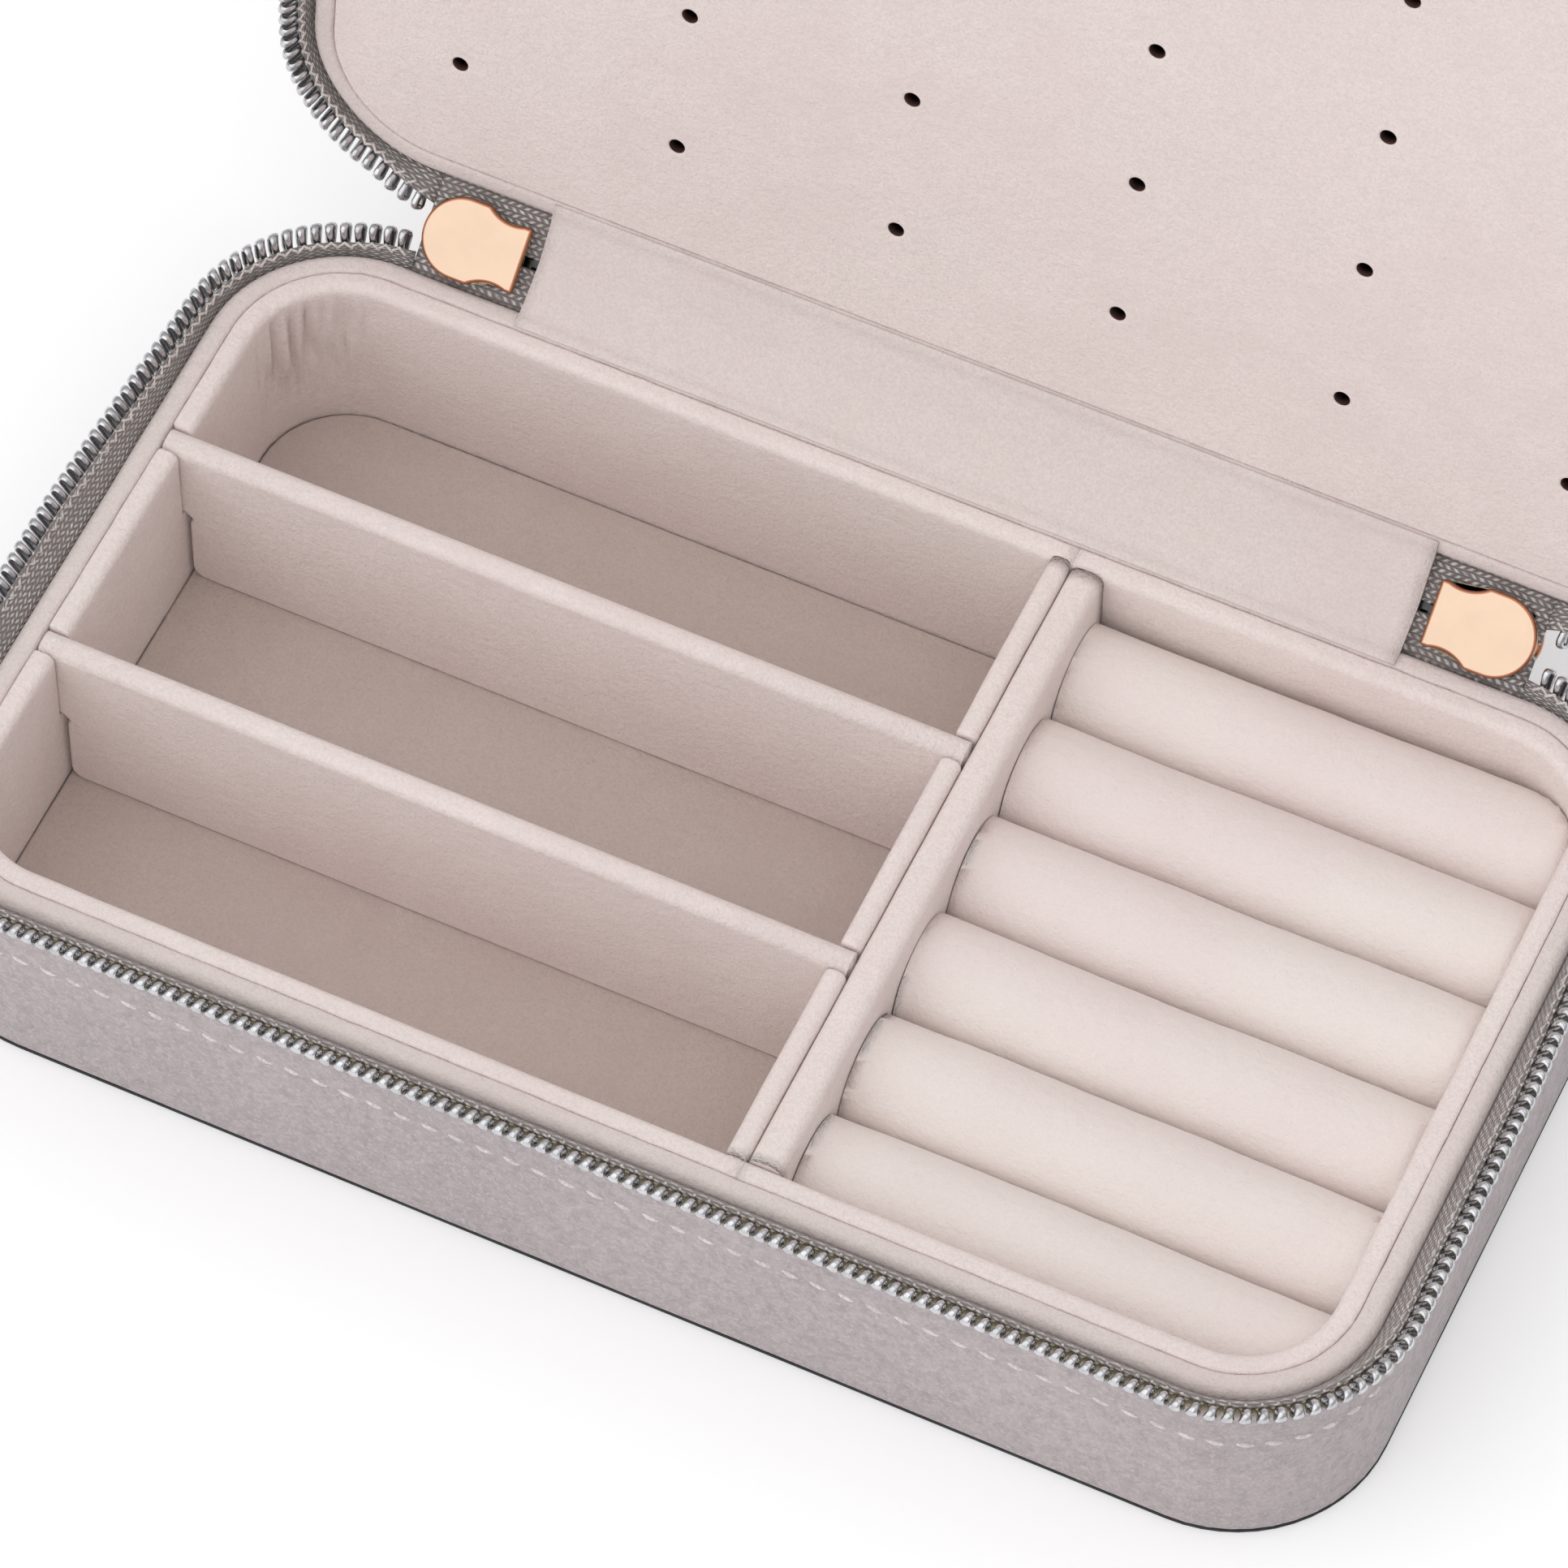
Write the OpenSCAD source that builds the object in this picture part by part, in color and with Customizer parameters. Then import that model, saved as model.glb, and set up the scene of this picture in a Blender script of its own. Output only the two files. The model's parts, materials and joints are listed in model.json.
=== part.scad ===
// Zip-around travel jewellery case, lying open on its base.
// Millimetres, +X along the long side, +Y back to the hinge, +Z up,
// origin on the table under the middle of the base.

/* [Case] */
// Length of the tray between its side seams
tray_l = 160; // [140:1:200]
// Depth of the tray between its front and back seams
tray_d = 87; // [80:1:110]
// Radius of the tray seam at the corners
seam_r = 13; // [11:0.5:18]
// Height of the tray top above the table
base_h = 25.6; // [23:0.2:40]
// Height of the lid from its rim to its outer face
lid_h = 15; // [13:0.5:24]
// Distance from the tray seam out to the leather face
shell_out = 4.5; // [4.3:0.1:6]
// Thickness of the leather-covered wall board
shell_t = 1.4; // [1.2:0.1:1.4]
// Thickness of the bottom and top boards
board_t = 1.0; // [0.8:0.1:1.2]

/* [Lid opening] */
// Angle of the lid from closed
open_angle = 100; // [80:1:110]
// Gap between the two rims with the lid closed
rim_gap = 10; // [9:0.5:12]

/* [Lining] */
// Width of the padded rim round the tray and round the lid panel
rim_w = 2.6; // [2.2:0.1:2.6]
// Thickness of the lining walls
liner_t = 2.5; // [2:0.1:3]
// Height of the floor surface above the table
floor_z = 2.4; // [2:0.1:4]
// Thickness of the floor board
floor_t = 1.4; // [1:0.1:1.4]

/* [Compartments] */
// Distance from the left seam to the ring section
comp_l = 95.7; // [80:0.1:110]
// Thickness of the wall beside the ring rolls
ring_wall_t = 3.9; // [3:0.1:5]
// Thickness of a divider
div_t = 3.0; // [2.4:0.1:3.4]
// Back faces of the front and back dividers, from the front seam
div_at = [30.5, 59.6];
// Depth of a divider's ears below its top edge
ear_h = 11.4; // [8:0.2:14]
// Clearance round a divider in its notches
div_gap = 0.15; // [0.1:0.05:0.3]

/* [Ring rolls] */
// Number of foam rolls
rolls = 6; // [4:1:7]
// Depth of a roll's top below the tray top
roll_drop = 4.2; // [2:0.2:8]

/* [Earring panel] */
// Holes along the panel
hole_cols = 6; // [3:1:7]
// Holes up the panel
hole_rows = 4; // [2:1:4]
// Spacing of the holes along and up the panel
hole_pitch = [25.9, 19.2];
// Diameter of a hole for an earring post
hole_d = 1.7; // [1.2:0.1:2.5]

/* [Zipper] */
// Pitch of the coil
pitch = 1.65; // [1.5:0.05:2]
// Thickness of a tooth along the coil
tooth_w = 0.95; // [0.7:0.05:1.1]
// Length and thickness of a tooth across the coil
tooth_l = 3.0; // [2.4:0.1:3.4]
// Thickness of a tooth off the tape
tooth_t = 1.3; // [1:0.1:1.6]
// Thickness of the woven tape
tape_t = 0.5; // [0.4:0.05:0.5]
// Length of a slider
slider_l = 12; // [10:0.5:14]
// Width of a slider over its round end
slider_w = 9.2; // [8:0.2:9.4]
// Length of a pull tab
pull_l = 22; // [16:1:30]
// Half the length of the velvet hinge flap
flap_half = 52.2; // [44:0.2:56]

/* [Hidden] */

fine = 48;
hole_fine = 24;
tooth_fine = 20;
eps = 0.02;
// how far a cut runs past what it cuts
over = 1.0;
// places measured from the seam: o is outwards, z is from the tray top
half_l = tray_l / 2;
half_d = tray_d / 2;
shell_top = -1.0;
shell_fold = 0.5;
shell_in_fold = 0.4;
// clearances: lining to the seam, floors and rolls to what is beside them
lining_gap = 0.05;
fit_gap = 0.1;
// radii of the folded top edges
seam_fold = 0.3;
rim_fold = 1.0;
top_fold = 1.1;
wall_fold = 0.8;
ring_wall_fold = 1.2;
tape_gap = (rim_w + shell_out - shell_t) / 2;
tape_bend = [tape_gap, shell_top];
tape_lean = 34;
tape_len = 4.4;
tape_tuck = 8;
comp_x = -half_l + comp_l;
wall_lap = 0.4;
// divider: radius of its foot, play at its ears and clearance of its lower part
foot_r = 1.5;
ear_play = 0.3;
foot_play = 0.5;
panel_t = 2.4;
spacer_w = 6;

// hinge line between the rims, and half the angle that the lid still lacks to stand flat
hinge_o = 5.3;
hinge_z = rim_gap / 2;
hinge_line = [hinge_o, hinge_z];
hinge_y = half_d + hinge_o;
hinge_abs = base_h + hinge_z;
open_half = 90 - open_angle / 2;
across = [cos(open_half), sin(open_half)];
inward = [-sin(open_half), cos(open_half)];
// with the lid open, the taut tapes carry the zipper outside the hinge line
zip_low = 0.3;
zip_out = 3.4;
zip_place = hinge_line - zip_low * across - zip_out * inward;
// ends of the free rows of teeth, and of the closed chain beside and under the flap
row_start = 65.9;
chain_half = 54.0;
chain_end = 46;
slider_x = chain_half + slider_l / 2 - 0.2;
// closed chain: width, offset of its two rows, thickness of one loop along it and its place
chain_w = 5.4;
chain_step = 0.65;
chain_tooth = 0.8;
chain_mid = -0.4;
tooth_over = 1.0;
// half the gap between the tapes and the place of their outer face
tape_edge = 0.6;
tape_face = 0.3;
flap_t = 0.6;
flap_sag = 1.9;
spine_t = 0.8;
spine_lap = 7;
spine_gap = 0.3;
spine_sag = 5.6;

// slider: plates, side walls set in from their edge, slot for the tape, waist and post
plate_t = 1.1;
slot_h = 1.35;
slot_from = 0.1;
slot_to = 0.95;
wall_in = 0.45;
wall_t = 0.45;
shoulder_r = 2.6;
shoulder_x = 0.2;
neck_w = 7.5;
neck_r = 4.5;
neck_cut = 0.25;
neck_x = 3.6;
post = [2.4, 1.0];
post_in = 0.6;
// the wide mouth of the channel ends this far short of the middle
mouth_end = 1.0;
// pull: loop on the slider, and the tab's pin, eyes and hole
loop_w = 2.2;
loop_h = 3.0;
loop_r = 1.6;
loop_t = 0.8;
pin_r = 0.6;
eye_w = 6.4;
eye_t = 1.2;
eye_r = 0.9;
eye_l = 2;
tab_gap = 1.2;
tab_hole = 2.7;

velvet = [0.87, 0.83, 0.81];
velvet_dark = [0.67, 0.60, 0.57];
cream = [0.92, 0.88, 0.86];
leather = [0.72, 0.68, 0.69];
black = [0.06, 0.06, 0.07];
tape_grey = [0.55, 0.51, 0.50];
silver = [0.80, 0.80, 0.82];
rose_gold = [0.96, 0.80, 0.68];

// ---------- shapes ----------

// rounded rectangle at an offset o from the seam
module seam_shape(o) {
    r = seam_r + o;
    w = tray_l + 2 * o;
    d = tray_d + 2 * o;
    square([w - 2 * r, d], center = true);
    square([w, d - 2 * r], center = true);
    for (x = [-1, 1], y = [-1, 1])
        translate([x * (w / 2 - r), y * (d / 2 - r)]) circle(r = r, $fn = fine);
}

// sweeps a profile drawn in (offset, height) all round the seam
module seam_sweep()
    for (k = [0:3]) {
        reach = (k % 2 == 1) ? half_d : half_l;
        run = ((k % 2 == 1) ? tray_l : tray_d) - 2 * seam_r;
        rotate([0, 0, 90 * k]) {
            translate([reach, run / 2, 0]) rotate([90, 0, 0]) linear_extrude(run) children();
            translate([reach - seam_r, run / 2, 0])
                rotate_extrude(angle = 90, $fn = fine) translate([seam_r, 0]) children();
        }
    }

// upright board section from (o0, z0) to (o1, 0) with rounded top edges
module board_section(o0, o1, z0, r0, r1) {
    translate([o0, z0]) square([o1 - o0, -z0 - max(r0, r1)]);
    translate([o0 + r0, z0]) square([o1 - o0 - r0 - r1, -z0]);
    translate([o0, z0]) square([r0, -z0 - r0]);
    translate([o1 - r1, z0]) square([r1, -z0 - r1]);
    translate([o0 + r0, -r0]) circle(r = r0, $fn = fine);
    translate([o1 - r1, -r1]) circle(r = r1, $fn = fine);
}

// board of thickness t that runs along Y, with a rounded top
module board_y(x0, t, y0, y1, z0, r)
    translate([x0, y1, 0]) rotate([90, 0, 0]) linear_extrude(y1 - y0)
        board_section(0, t, z0, r, r);

// band of thickness t that follows the points of a path
module band(path, t) {
    n = len(path);
    dir = [for (i = [0:n - 1]) unit(path[min(i + 1, n - 1)] - path[max(i - 1, 0)])];
    polygon(concat(path, [for (i = [n - 1:-1:0]) path[i] + t * [-dir[i][1], dir[i][0]]]));
}

function unit(v) = v / norm(v);

// a point of the closed lid, given from the tray top, where it lies with the lid open
function opened(p) = hinge_line + turned(p - hinge_line);
function turned(v) = [
    v[0] * cos(open_angle) + v[1] * sin(open_angle),
    v[1] * cos(open_angle) - v[0] * sin(open_angle)
];
// the mirrored point on the lid of a point p on the base
function lid_side(p) = opened([p[0], rim_gap - p[1]]);

// stands a drawing of the base's ring on the tray-top plane
module base_place() translate([0, 0, base_h]) children();

// turns a drawing of the same ring into the open lid
module lid_place()
    translate([0, hinge_y, hinge_abs]) rotate([-open_angle, 0, 0])
        mirror([0, 0, 1]) translate([0, -hinge_y, -hinge_z]) children();

// extrudes an (offset, height) drawing along X behind the back seam
module along_back(x0, x1)
    translate([x0, half_d, base_h]) rotate([90, 0, 90]) linear_extrude(x1 - x0) children();

// a point of the hinge drawing, across and inward of the hinge line
function hinge_point(u, v) = hinge_line + u * across + v * inward;
// the same from the middle of the zipper
function zip_point(u, v) = zip_place + u * across + v * inward;

// frame of the zipper at the hinge: x along it, y across it, z towards the inside
module zip_frame(x)
    translate([x, half_d + zip_place[0], base_h + zip_place[1]]) rotate([open_half, 0, 0]) children();

// keeps what lies on one side of the wall between the two sections
module left_part() intersection() {
    children();
    translate([-tray_l, -tray_d, -base_h]) cube([tray_l + comp_x, 2 * tray_d, 2 * base_h]);
}
module right_part() intersection() {
    children();
    translate([comp_x + eps, -tray_d, -base_h]) cube([tray_l, 2 * tray_d, 2 * base_h]);
}

// ---------- outer case ----------

module outer_board(depth) translate([0, 0, -depth]) linear_extrude(board_t) seam_shape(shell_out);

module outer_wall(depth)
    seam_sweep() translate([0, shell_top])
        board_section(shell_out - shell_t, shell_out, board_t - depth - shell_top,
                      shell_in_fold, shell_fold);

module collar(depth) seam_sweep() board_section(lining_gap, rim_w, board_t - depth, seam_fold, rim_fold);

module base_panel() color(black) base_place() outer_board(base_h);
module base_shell() color(leather) base_place() outer_wall(base_h);
module base_collar() color(velvet) base_place() collar(base_h);
module lid_panel() color(leather) lid_place() outer_board(lid_h);
module lid_shell() color(leather) lid_place() outer_wall(lid_h);
module lid_collar() color(velvet) lid_place() collar(lid_h);

// ---------- zipper ----------

// tape tucked between collar and wall, then leaning out over the wall
module tape_section() {
    lean = [sin(tape_lean), cos(tape_lean)];
    skirt = tape_bend - [0, tape_tuck];
    band([skirt + [tape_t / 2, 0], tape_bend + [tape_t / 2, 0], tape_bend + [tape_t / 2, 0]
          + tape_len * lean], tape_t);
}

module tape_ring() difference() {
    seam_sweep() tape_section();
    translate([-row_start, 0, -base_h]) cube([2 * row_start, tray_d, 2 * base_h]);
}

// one loop of the coil on the outer face of the tape
module tooth()
    translate([tape_bend[0] + tape_t / 2, 0, tape_bend[1]]) rotate([0, tape_lean, 0])
        translate([tooth_t / 2, tooth_w / 2, tape_len + tooth_over - tooth_l + tooth_t / 2])
            rotate([90, 0, 0]) linear_extrude(tooth_w) tooth_shape();

module tooth_shape() {
    circle(d = tooth_t, $fn = tooth_fine);
    translate([-tooth_t / 2, 0]) square([tooth_t, tooth_l - tooth_t]);
    translate([0, tooth_l - tooth_t]) circle(d = tooth_t, $fn = tooth_fine);
}

module tooth_ring()
    for (k = [0:3]) {
        reach = (k % 2 == 1) ? half_d : half_l;
        run = ((k % 2 == 1) ? tray_l : tray_d) - 2 * seam_r;
        n = round(run / pitch);
        corner_n = round((seam_r + tape_bend[0] + tape_len * sin(tape_lean)) * PI / 2 / pitch);
        rotate([0, 0, 90 * k]) {
            for (i = [0:n - 1]) {
                y = (i - (n - 1) / 2) * run / n;
                if (k != 1 || abs(y) > row_start + tooth_w) translate([reach, y, 0]) tooth();
            }
            translate([reach - seam_r, run / 2, 0])
                for (i = [0:corner_n - 1])
                    rotate([0, 0, (i + 0.5) * 90 / corner_n]) translate([seam_r, 0, 0]) tooth();
        }
    }

module base_tape() color(tape_grey) base_place() tape_ring();
module base_teeth() color(silver) base_place() tooth_ring();
module lid_tape() color(tape_grey) lid_place() tape_ring();
module lid_teeth() color(silver) lid_place() tooth_ring();

// ---------- hinge ----------

// the two tapes drawn taut from the rims to the closed chain, and on under the flap
module hinge_tape() {
    outer = tape_gap + tape_t / 2;
    inner = tape_gap - tape_t / 2;
    hem = shell_top - tape_tuck;
    base_run = [[outer, hem], [outer, shell_top], zip_point(-tape_edge, tape_face)];
    lid_run = [lid_side([inner, hem]), lid_side([inner, shell_top]),
               zip_point(tape_edge, tape_face + tape_t)];
    color(tape_grey) for (x0 = [-row_start, chain_end]) along_back(x0, x0 + row_start - chain_end) {
        band(base_run, tape_t);
        band(lid_run, tape_t);
    }
}

// closed coil that runs in under the flap from each slider
module hinge_chain() {
    n = floor((chain_half - chain_end) / pitch * 2);
    color(silver) for (side = [-1, 1], i = [0:n - 1])
        zip_frame(side * (chain_half - (i + 0.5) * pitch / 2))
            translate([-chain_tooth / 2, (i % 2 == 0 ? -1 : 1) * chain_step, chain_mid])
                rotate([90, 0, 90]) linear_extrude(chain_tooth)
                    translate([-(tooth_l - tooth_t) / 2, 0]) rotate([0, 0, -90]) tooth_shape();
}

// velvet flap from the tray seam over the rim and the chain to the lid seam
module hinge_flap() {
    half = [[0.1, flap_t], [1.2, flap_t], [1.8, flap_t - lining_gap]];
    path = concat(half, [hinge_point(0, -flap_sag)], [for (i = [2:-1:0]) lid_side(half[i])]);
    color(velvet) along_back(-flap_half, flap_half) band(path, -flap_t);
}

// leather strip outside, from the base's wall to the lid's wall
module hinge_spine() {
    low = [shell_out, -spine_lap];
    high = [shell_out, shell_top - spine_gap];
    path = [low, high, hinge_point(0, -spine_sag), lid_side(high), lid_side(low)];
    color(leather) along_back(-flap_half, flap_half) band(path, -spine_t);
}

// ---------- sliders and pulls ----------

// plate seen flat, drawn in from its edge by an inset
module slider_outline(inset) {
    mouth_x = (slider_w - slider_l) / 2;
    top_y = slider_w / 2 - shoulder_r;
    difference() {
        union() {
            translate([mouth_x, 0]) circle(d = slider_w - 2 * inset, $fn = fine);
            translate([mouth_x, inset - slider_w / 2])
                square([shoulder_x - mouth_x, slider_w - 2 * inset]);
            for (y = [-top_y, top_y])
                translate([shoulder_x, y]) circle(r = shoulder_r - inset, $fn = fine);
            translate([mouth_x, inset - neck_w / 2])
                square([slider_l / 2 - mouth_x - inset, neck_w - 2 * inset]);
        }
        for (y = [-1, 1])
            translate([neck_x, y * (neck_w / 2 - neck_cut + neck_r)])
                circle(r = neck_r + inset, $fn = fine);
    }
}

// slider with its round mouth towards -x and its pull loop on the outer plate
module slider() {
    for (z = [slot_h, -slot_h - plate_t])
        translate([0, 0, z]) linear_extrude(plate_t) slider_outline(0);
    difference() {
        translate([0, 0, -slot_h - eps]) linear_extrude(2 * (slot_h + eps)) slider_outline(wall_in);
        translate([0, 0, -slot_h]) linear_extrude(2 * slot_h) channel_outline();
        translate([-slider_l, -slider_w, slot_from])
            cube([2 * slider_l, 2 * slider_w, slot_to - slot_from]);
    }
    translate([post_in - slider_l / 2, -post[1] / 2, -slot_h - eps])
        cube([post[0], post[1], 2 * (slot_h + eps)]);
    translate([0, 0, -slot_h - plate_t]) pull_loop();
}

// open way through the slider for the coils, widening to its mouth
module channel_outline() {
    mouth_w = slider_w - 2 * (wall_in + wall_t);
    translate([-slider_l, -chain_w / 2]) square([2 * slider_l, chain_w]);
    translate([-slider_l, -mouth_w / 2]) square([slider_l - mouth_end, mouth_w]);
}

module pull_loop()
    translate([0, loop_w / 2, 0]) rotate([90, 0, 0]) linear_extrude(loop_w) difference() {
        union() {
            translate([0, loop_r - loop_h]) circle(r = loop_r, $fn = fine);
            translate([-loop_r, loop_r - loop_h]) square([2 * loop_r, loop_h - loop_r + eps]);
        }
        translate([0, loop_r - loop_h]) circle(r = loop_r - loop_t, $fn = fine);
    }

module slider_left() color(rose_gold) zip_frame(-slider_x) slider();
module slider_right() color(rose_gold) zip_frame(slider_x) mirror([1, 0, 0]) slider();

// flat tab that hangs from the loop by two small eyes
module pull() {
    pin_z = loop_r - loop_h - slot_h - plate_t;
    translate([0, 0, pin_z]) {
        rotate([90, 0, 0]) cylinder(r = pin_r, h = eye_w, center = true, $fn = fine);
        for (y = [-1, 1])
            translate([0, y * (eye_w - eye_t) / 2, 0]) rotate([90, 0, 0])
                linear_extrude(eye_t, center = true) {
                    circle(r = eye_r, $fn = fine);
                    translate([-eye_r, -eye_r - eye_l]) square([2 * eye_r, eye_r + eye_l]);
                }
        rotate([90, 0, 90]) linear_extrude(2 * eye_r, center = true) pull_outline();
    }
}

module pull_outline() difference() {
    end = eye_w / 2 - pull_l;
    union() {
        translate([-eye_w / 2, end]) square([eye_w, -end - eye_r - tab_gap]);
        translate([0, end]) circle(d = eye_w, $fn = fine);
    }
    translate([0, end]) circle(d = tab_hole, $fn = fine);
}

module pull_left() color(rose_gold) zip_frame(-slider_x) pull();
module pull_right() color(rose_gold) zip_frame(slider_x) pull();

// ---------- compartments ----------

module notches() for (y = div_at)
    translate([-half_l - over, y - half_d - div_t - div_gap, -ear_h - div_gap])
        cube([comp_l + over + eps / 2, div_t + 2 * div_gap, ear_h + over]);

module tray_floor() color(velvet_dark) left_part()
    translate([0, 0, floor_z - floor_t]) linear_extrude(floor_t) intersection() {
        seam_shape(-liner_t - fit_gap);
        translate([-tray_l, -tray_d]) square([tray_l + comp_x - liner_t - fit_gap, 2 * tray_d]);
    }

// lining walls all round inside the seam
module lining_ring()
    seam_sweep() board_section(-liner_t, -lining_gap, board_t - base_h, top_fold, seam_fold);

// the four lining walls of the compartments, notched for the dividers
module tray_liner() color(velvet) base_place() difference() {
    union() {
        left_part() lining_ring();
        board_y(comp_x - liner_t, liner_t, liner_t - wall_lap - half_d,
                half_d - liner_t + wall_lap, board_t - base_h, wall_fold);
    }
    notches();
}

// board with ears that drop into the notches and a lower part clear of the walls
module divider(y) color(velvet) {
    x0 = -half_l + ear_play;
    x1 = comp_x - ear_play;
    body0 = -half_l + liner_t + foot_play;
    body1 = comp_x - liner_t - foot_play;
    low = floor_z - base_h + fit_gap;
    translate([0, y - half_d, base_h]) intersection() {
        rotate([90, 0, 0]) linear_extrude(div_t) {
            translate([x0, -ear_h]) square([x1 - x0, ear_h]);
            translate([body0, low + foot_r]) square([body1 - body0, -low - foot_r]);
            translate([body0 + foot_r, low]) square([body1 - body0 - 2 * foot_r, foot_r + eps]);
            for (x = [body0 + foot_r, body1 - foot_r])
                translate([x, low + foot_r]) circle(r = foot_r, $fn = fine);
        }
        translate([x0 - over, -div_t, 0]) rotate([90, 0, 90]) linear_extrude(x1 - x0 + 2 * over)
            board_section(0, div_t, low - over, top_fold, top_fold);
    }
}
module divider_front() divider(div_at[0]);
module divider_back() divider(div_at[1]);

// ---------- ring section ----------

module ring_floor() color(velvet_dark) right_part()
    translate([0, 0, floor_z - floor_t]) linear_extrude(floor_t) intersection() {
        seam_shape(-liner_t - fit_gap);
        translate([comp_x + ring_wall_t + fit_gap, -tray_d]) square([tray_l, 2 * tray_d]);
    }

module ring_wall() color(velvet) base_place()
    board_y(comp_x + lining_gap, ring_wall_t - lining_gap, lining_gap + liner_t - half_d,
            half_d - liner_t - lining_gap, board_t - base_h, ring_wall_fold);

module ring_liner() color(velvet) base_place() right_part() lining_ring();

// foam roll n, counted from the hinge, with its foot on the ring floor
module ring_roll(n) {
    room = tray_d - 2 * (liner_t + fit_gap);
    r = room / rolls / 2 - lining_gap;
    y = room / 2 - (n - 0.5) * room / rolls;
    x0 = comp_x + ring_wall_t + fit_gap;
    top = base_h - roll_drop;
    color(cream) intersection() {
        translate([x0, y, 0]) rotate([90, 0, 90]) linear_extrude(half_l - liner_t - fit_gap - x0) {
            translate([0, top - r]) circle(r = r, $fn = fine);
            translate([-r, floor_z]) square([2 * r, top - r - floor_z]);
        }
        linear_extrude(base_h) seam_shape(-liner_t - fit_gap);
    }
}
module ring_roll_1() ring_roll(1);
module ring_roll_2() ring_roll(2);
module ring_roll_3() ring_roll(3);
module ring_roll_4() ring_roll(4);
module ring_roll_5() ring_roll(5);
module ring_roll_6() ring_roll(6);

// ---------- lid lining ----------

module lid_spacer() color(velvet_dark) lid_place()
    translate([0, 0, board_t - lid_h]) linear_extrude(lid_h - board_t - panel_t) difference() {
        seam_shape(-fit_gap);
        seam_shape(-spacer_w);
    }

module earring_panel() color(velvet) lid_place() difference() {
    translate([0, 0, -panel_t]) linear_extrude(panel_t) seam_shape(-lining_gap);
    for (i = [0:hole_cols - 1], j = [0:hole_rows - 1])
        translate([(i - (hole_cols - 1) / 2) * hole_pitch[0],
                   (j - (hole_rows - 1) / 2) * hole_pitch[1], -panel_t - over])
            cylinder(d = hole_d, h = panel_t + 2 * over, $fn = hole_fine);
}

base_panel();
base_shell();
base_collar();
base_tape();
base_teeth();
tray_floor();
tray_liner();
divider_front();
divider_back();
ring_floor();
ring_wall();
ring_liner();
ring_roll_1();
ring_roll_2();
ring_roll_3();
ring_roll_4();
ring_roll_5();
ring_roll_6();
lid_panel();
lid_shell();
lid_collar();
lid_spacer();
lid_tape();
lid_teeth();
earring_panel();
hinge_flap();
hinge_spine();
hinge_tape();
hinge_chain();
slider_left();
slider_right();
pull_left();
pull_right();
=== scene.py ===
import json
import math
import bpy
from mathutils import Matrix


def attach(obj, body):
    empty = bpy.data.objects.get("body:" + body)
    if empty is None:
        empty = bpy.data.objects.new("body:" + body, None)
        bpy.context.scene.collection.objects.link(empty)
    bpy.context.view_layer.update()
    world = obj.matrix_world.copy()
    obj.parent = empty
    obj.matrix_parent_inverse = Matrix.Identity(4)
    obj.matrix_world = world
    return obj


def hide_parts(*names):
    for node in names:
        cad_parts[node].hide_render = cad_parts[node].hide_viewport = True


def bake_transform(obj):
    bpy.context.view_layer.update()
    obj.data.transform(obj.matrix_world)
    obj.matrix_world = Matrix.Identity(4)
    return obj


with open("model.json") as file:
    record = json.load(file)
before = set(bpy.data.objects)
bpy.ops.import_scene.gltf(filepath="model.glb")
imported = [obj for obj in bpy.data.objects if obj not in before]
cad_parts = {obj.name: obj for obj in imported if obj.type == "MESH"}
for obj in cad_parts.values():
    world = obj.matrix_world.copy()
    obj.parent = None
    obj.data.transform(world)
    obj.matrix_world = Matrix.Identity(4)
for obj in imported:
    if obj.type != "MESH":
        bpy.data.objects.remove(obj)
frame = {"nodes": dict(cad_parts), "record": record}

from types import SimpleNamespace

import bmesh
import bpy
from mathutils import Matrix, Vector, noise

bl_info = {
    "name": "Zip-around jewellery case",
    "version": (1, 0, 0),
    "blender": (4, 5, 0),
    "location": "3D View > Sidebar > Jewellery case",
    "description": "Dresses the case, its lining, zipper and fittings",
    "category": "Object",
}

MM = 0.001
LEATHER_THICK = 1.4
LEATHER_TOP = -1.0
NODES = frame["nodes"]


# ---------- sizes and colours ----------

def length(name, description, millimetres):
    return bpy.props.FloatProperty(
        name=name, description=description, default=millimetres * MM,
        unit="LENGTH", subtype="DISTANCE", precision=5,
    )


def colour(name, description, red, green, blue):
    return bpy.props.FloatVectorProperty(
        name=name, description=description, subtype="COLOR", min=0.0, max=1.0,
        default=linear(red, green, blue),
    )


def linear(red, green, blue):
    """Screen colour in 0-255 as scene-linear values."""
    return tuple(
        c / 12.92 if c <= 0.04045 else ((c + 0.055) / 1.055) ** 2.4
        for c in (red / 255, green / 255, blue / 255)
    )


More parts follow.
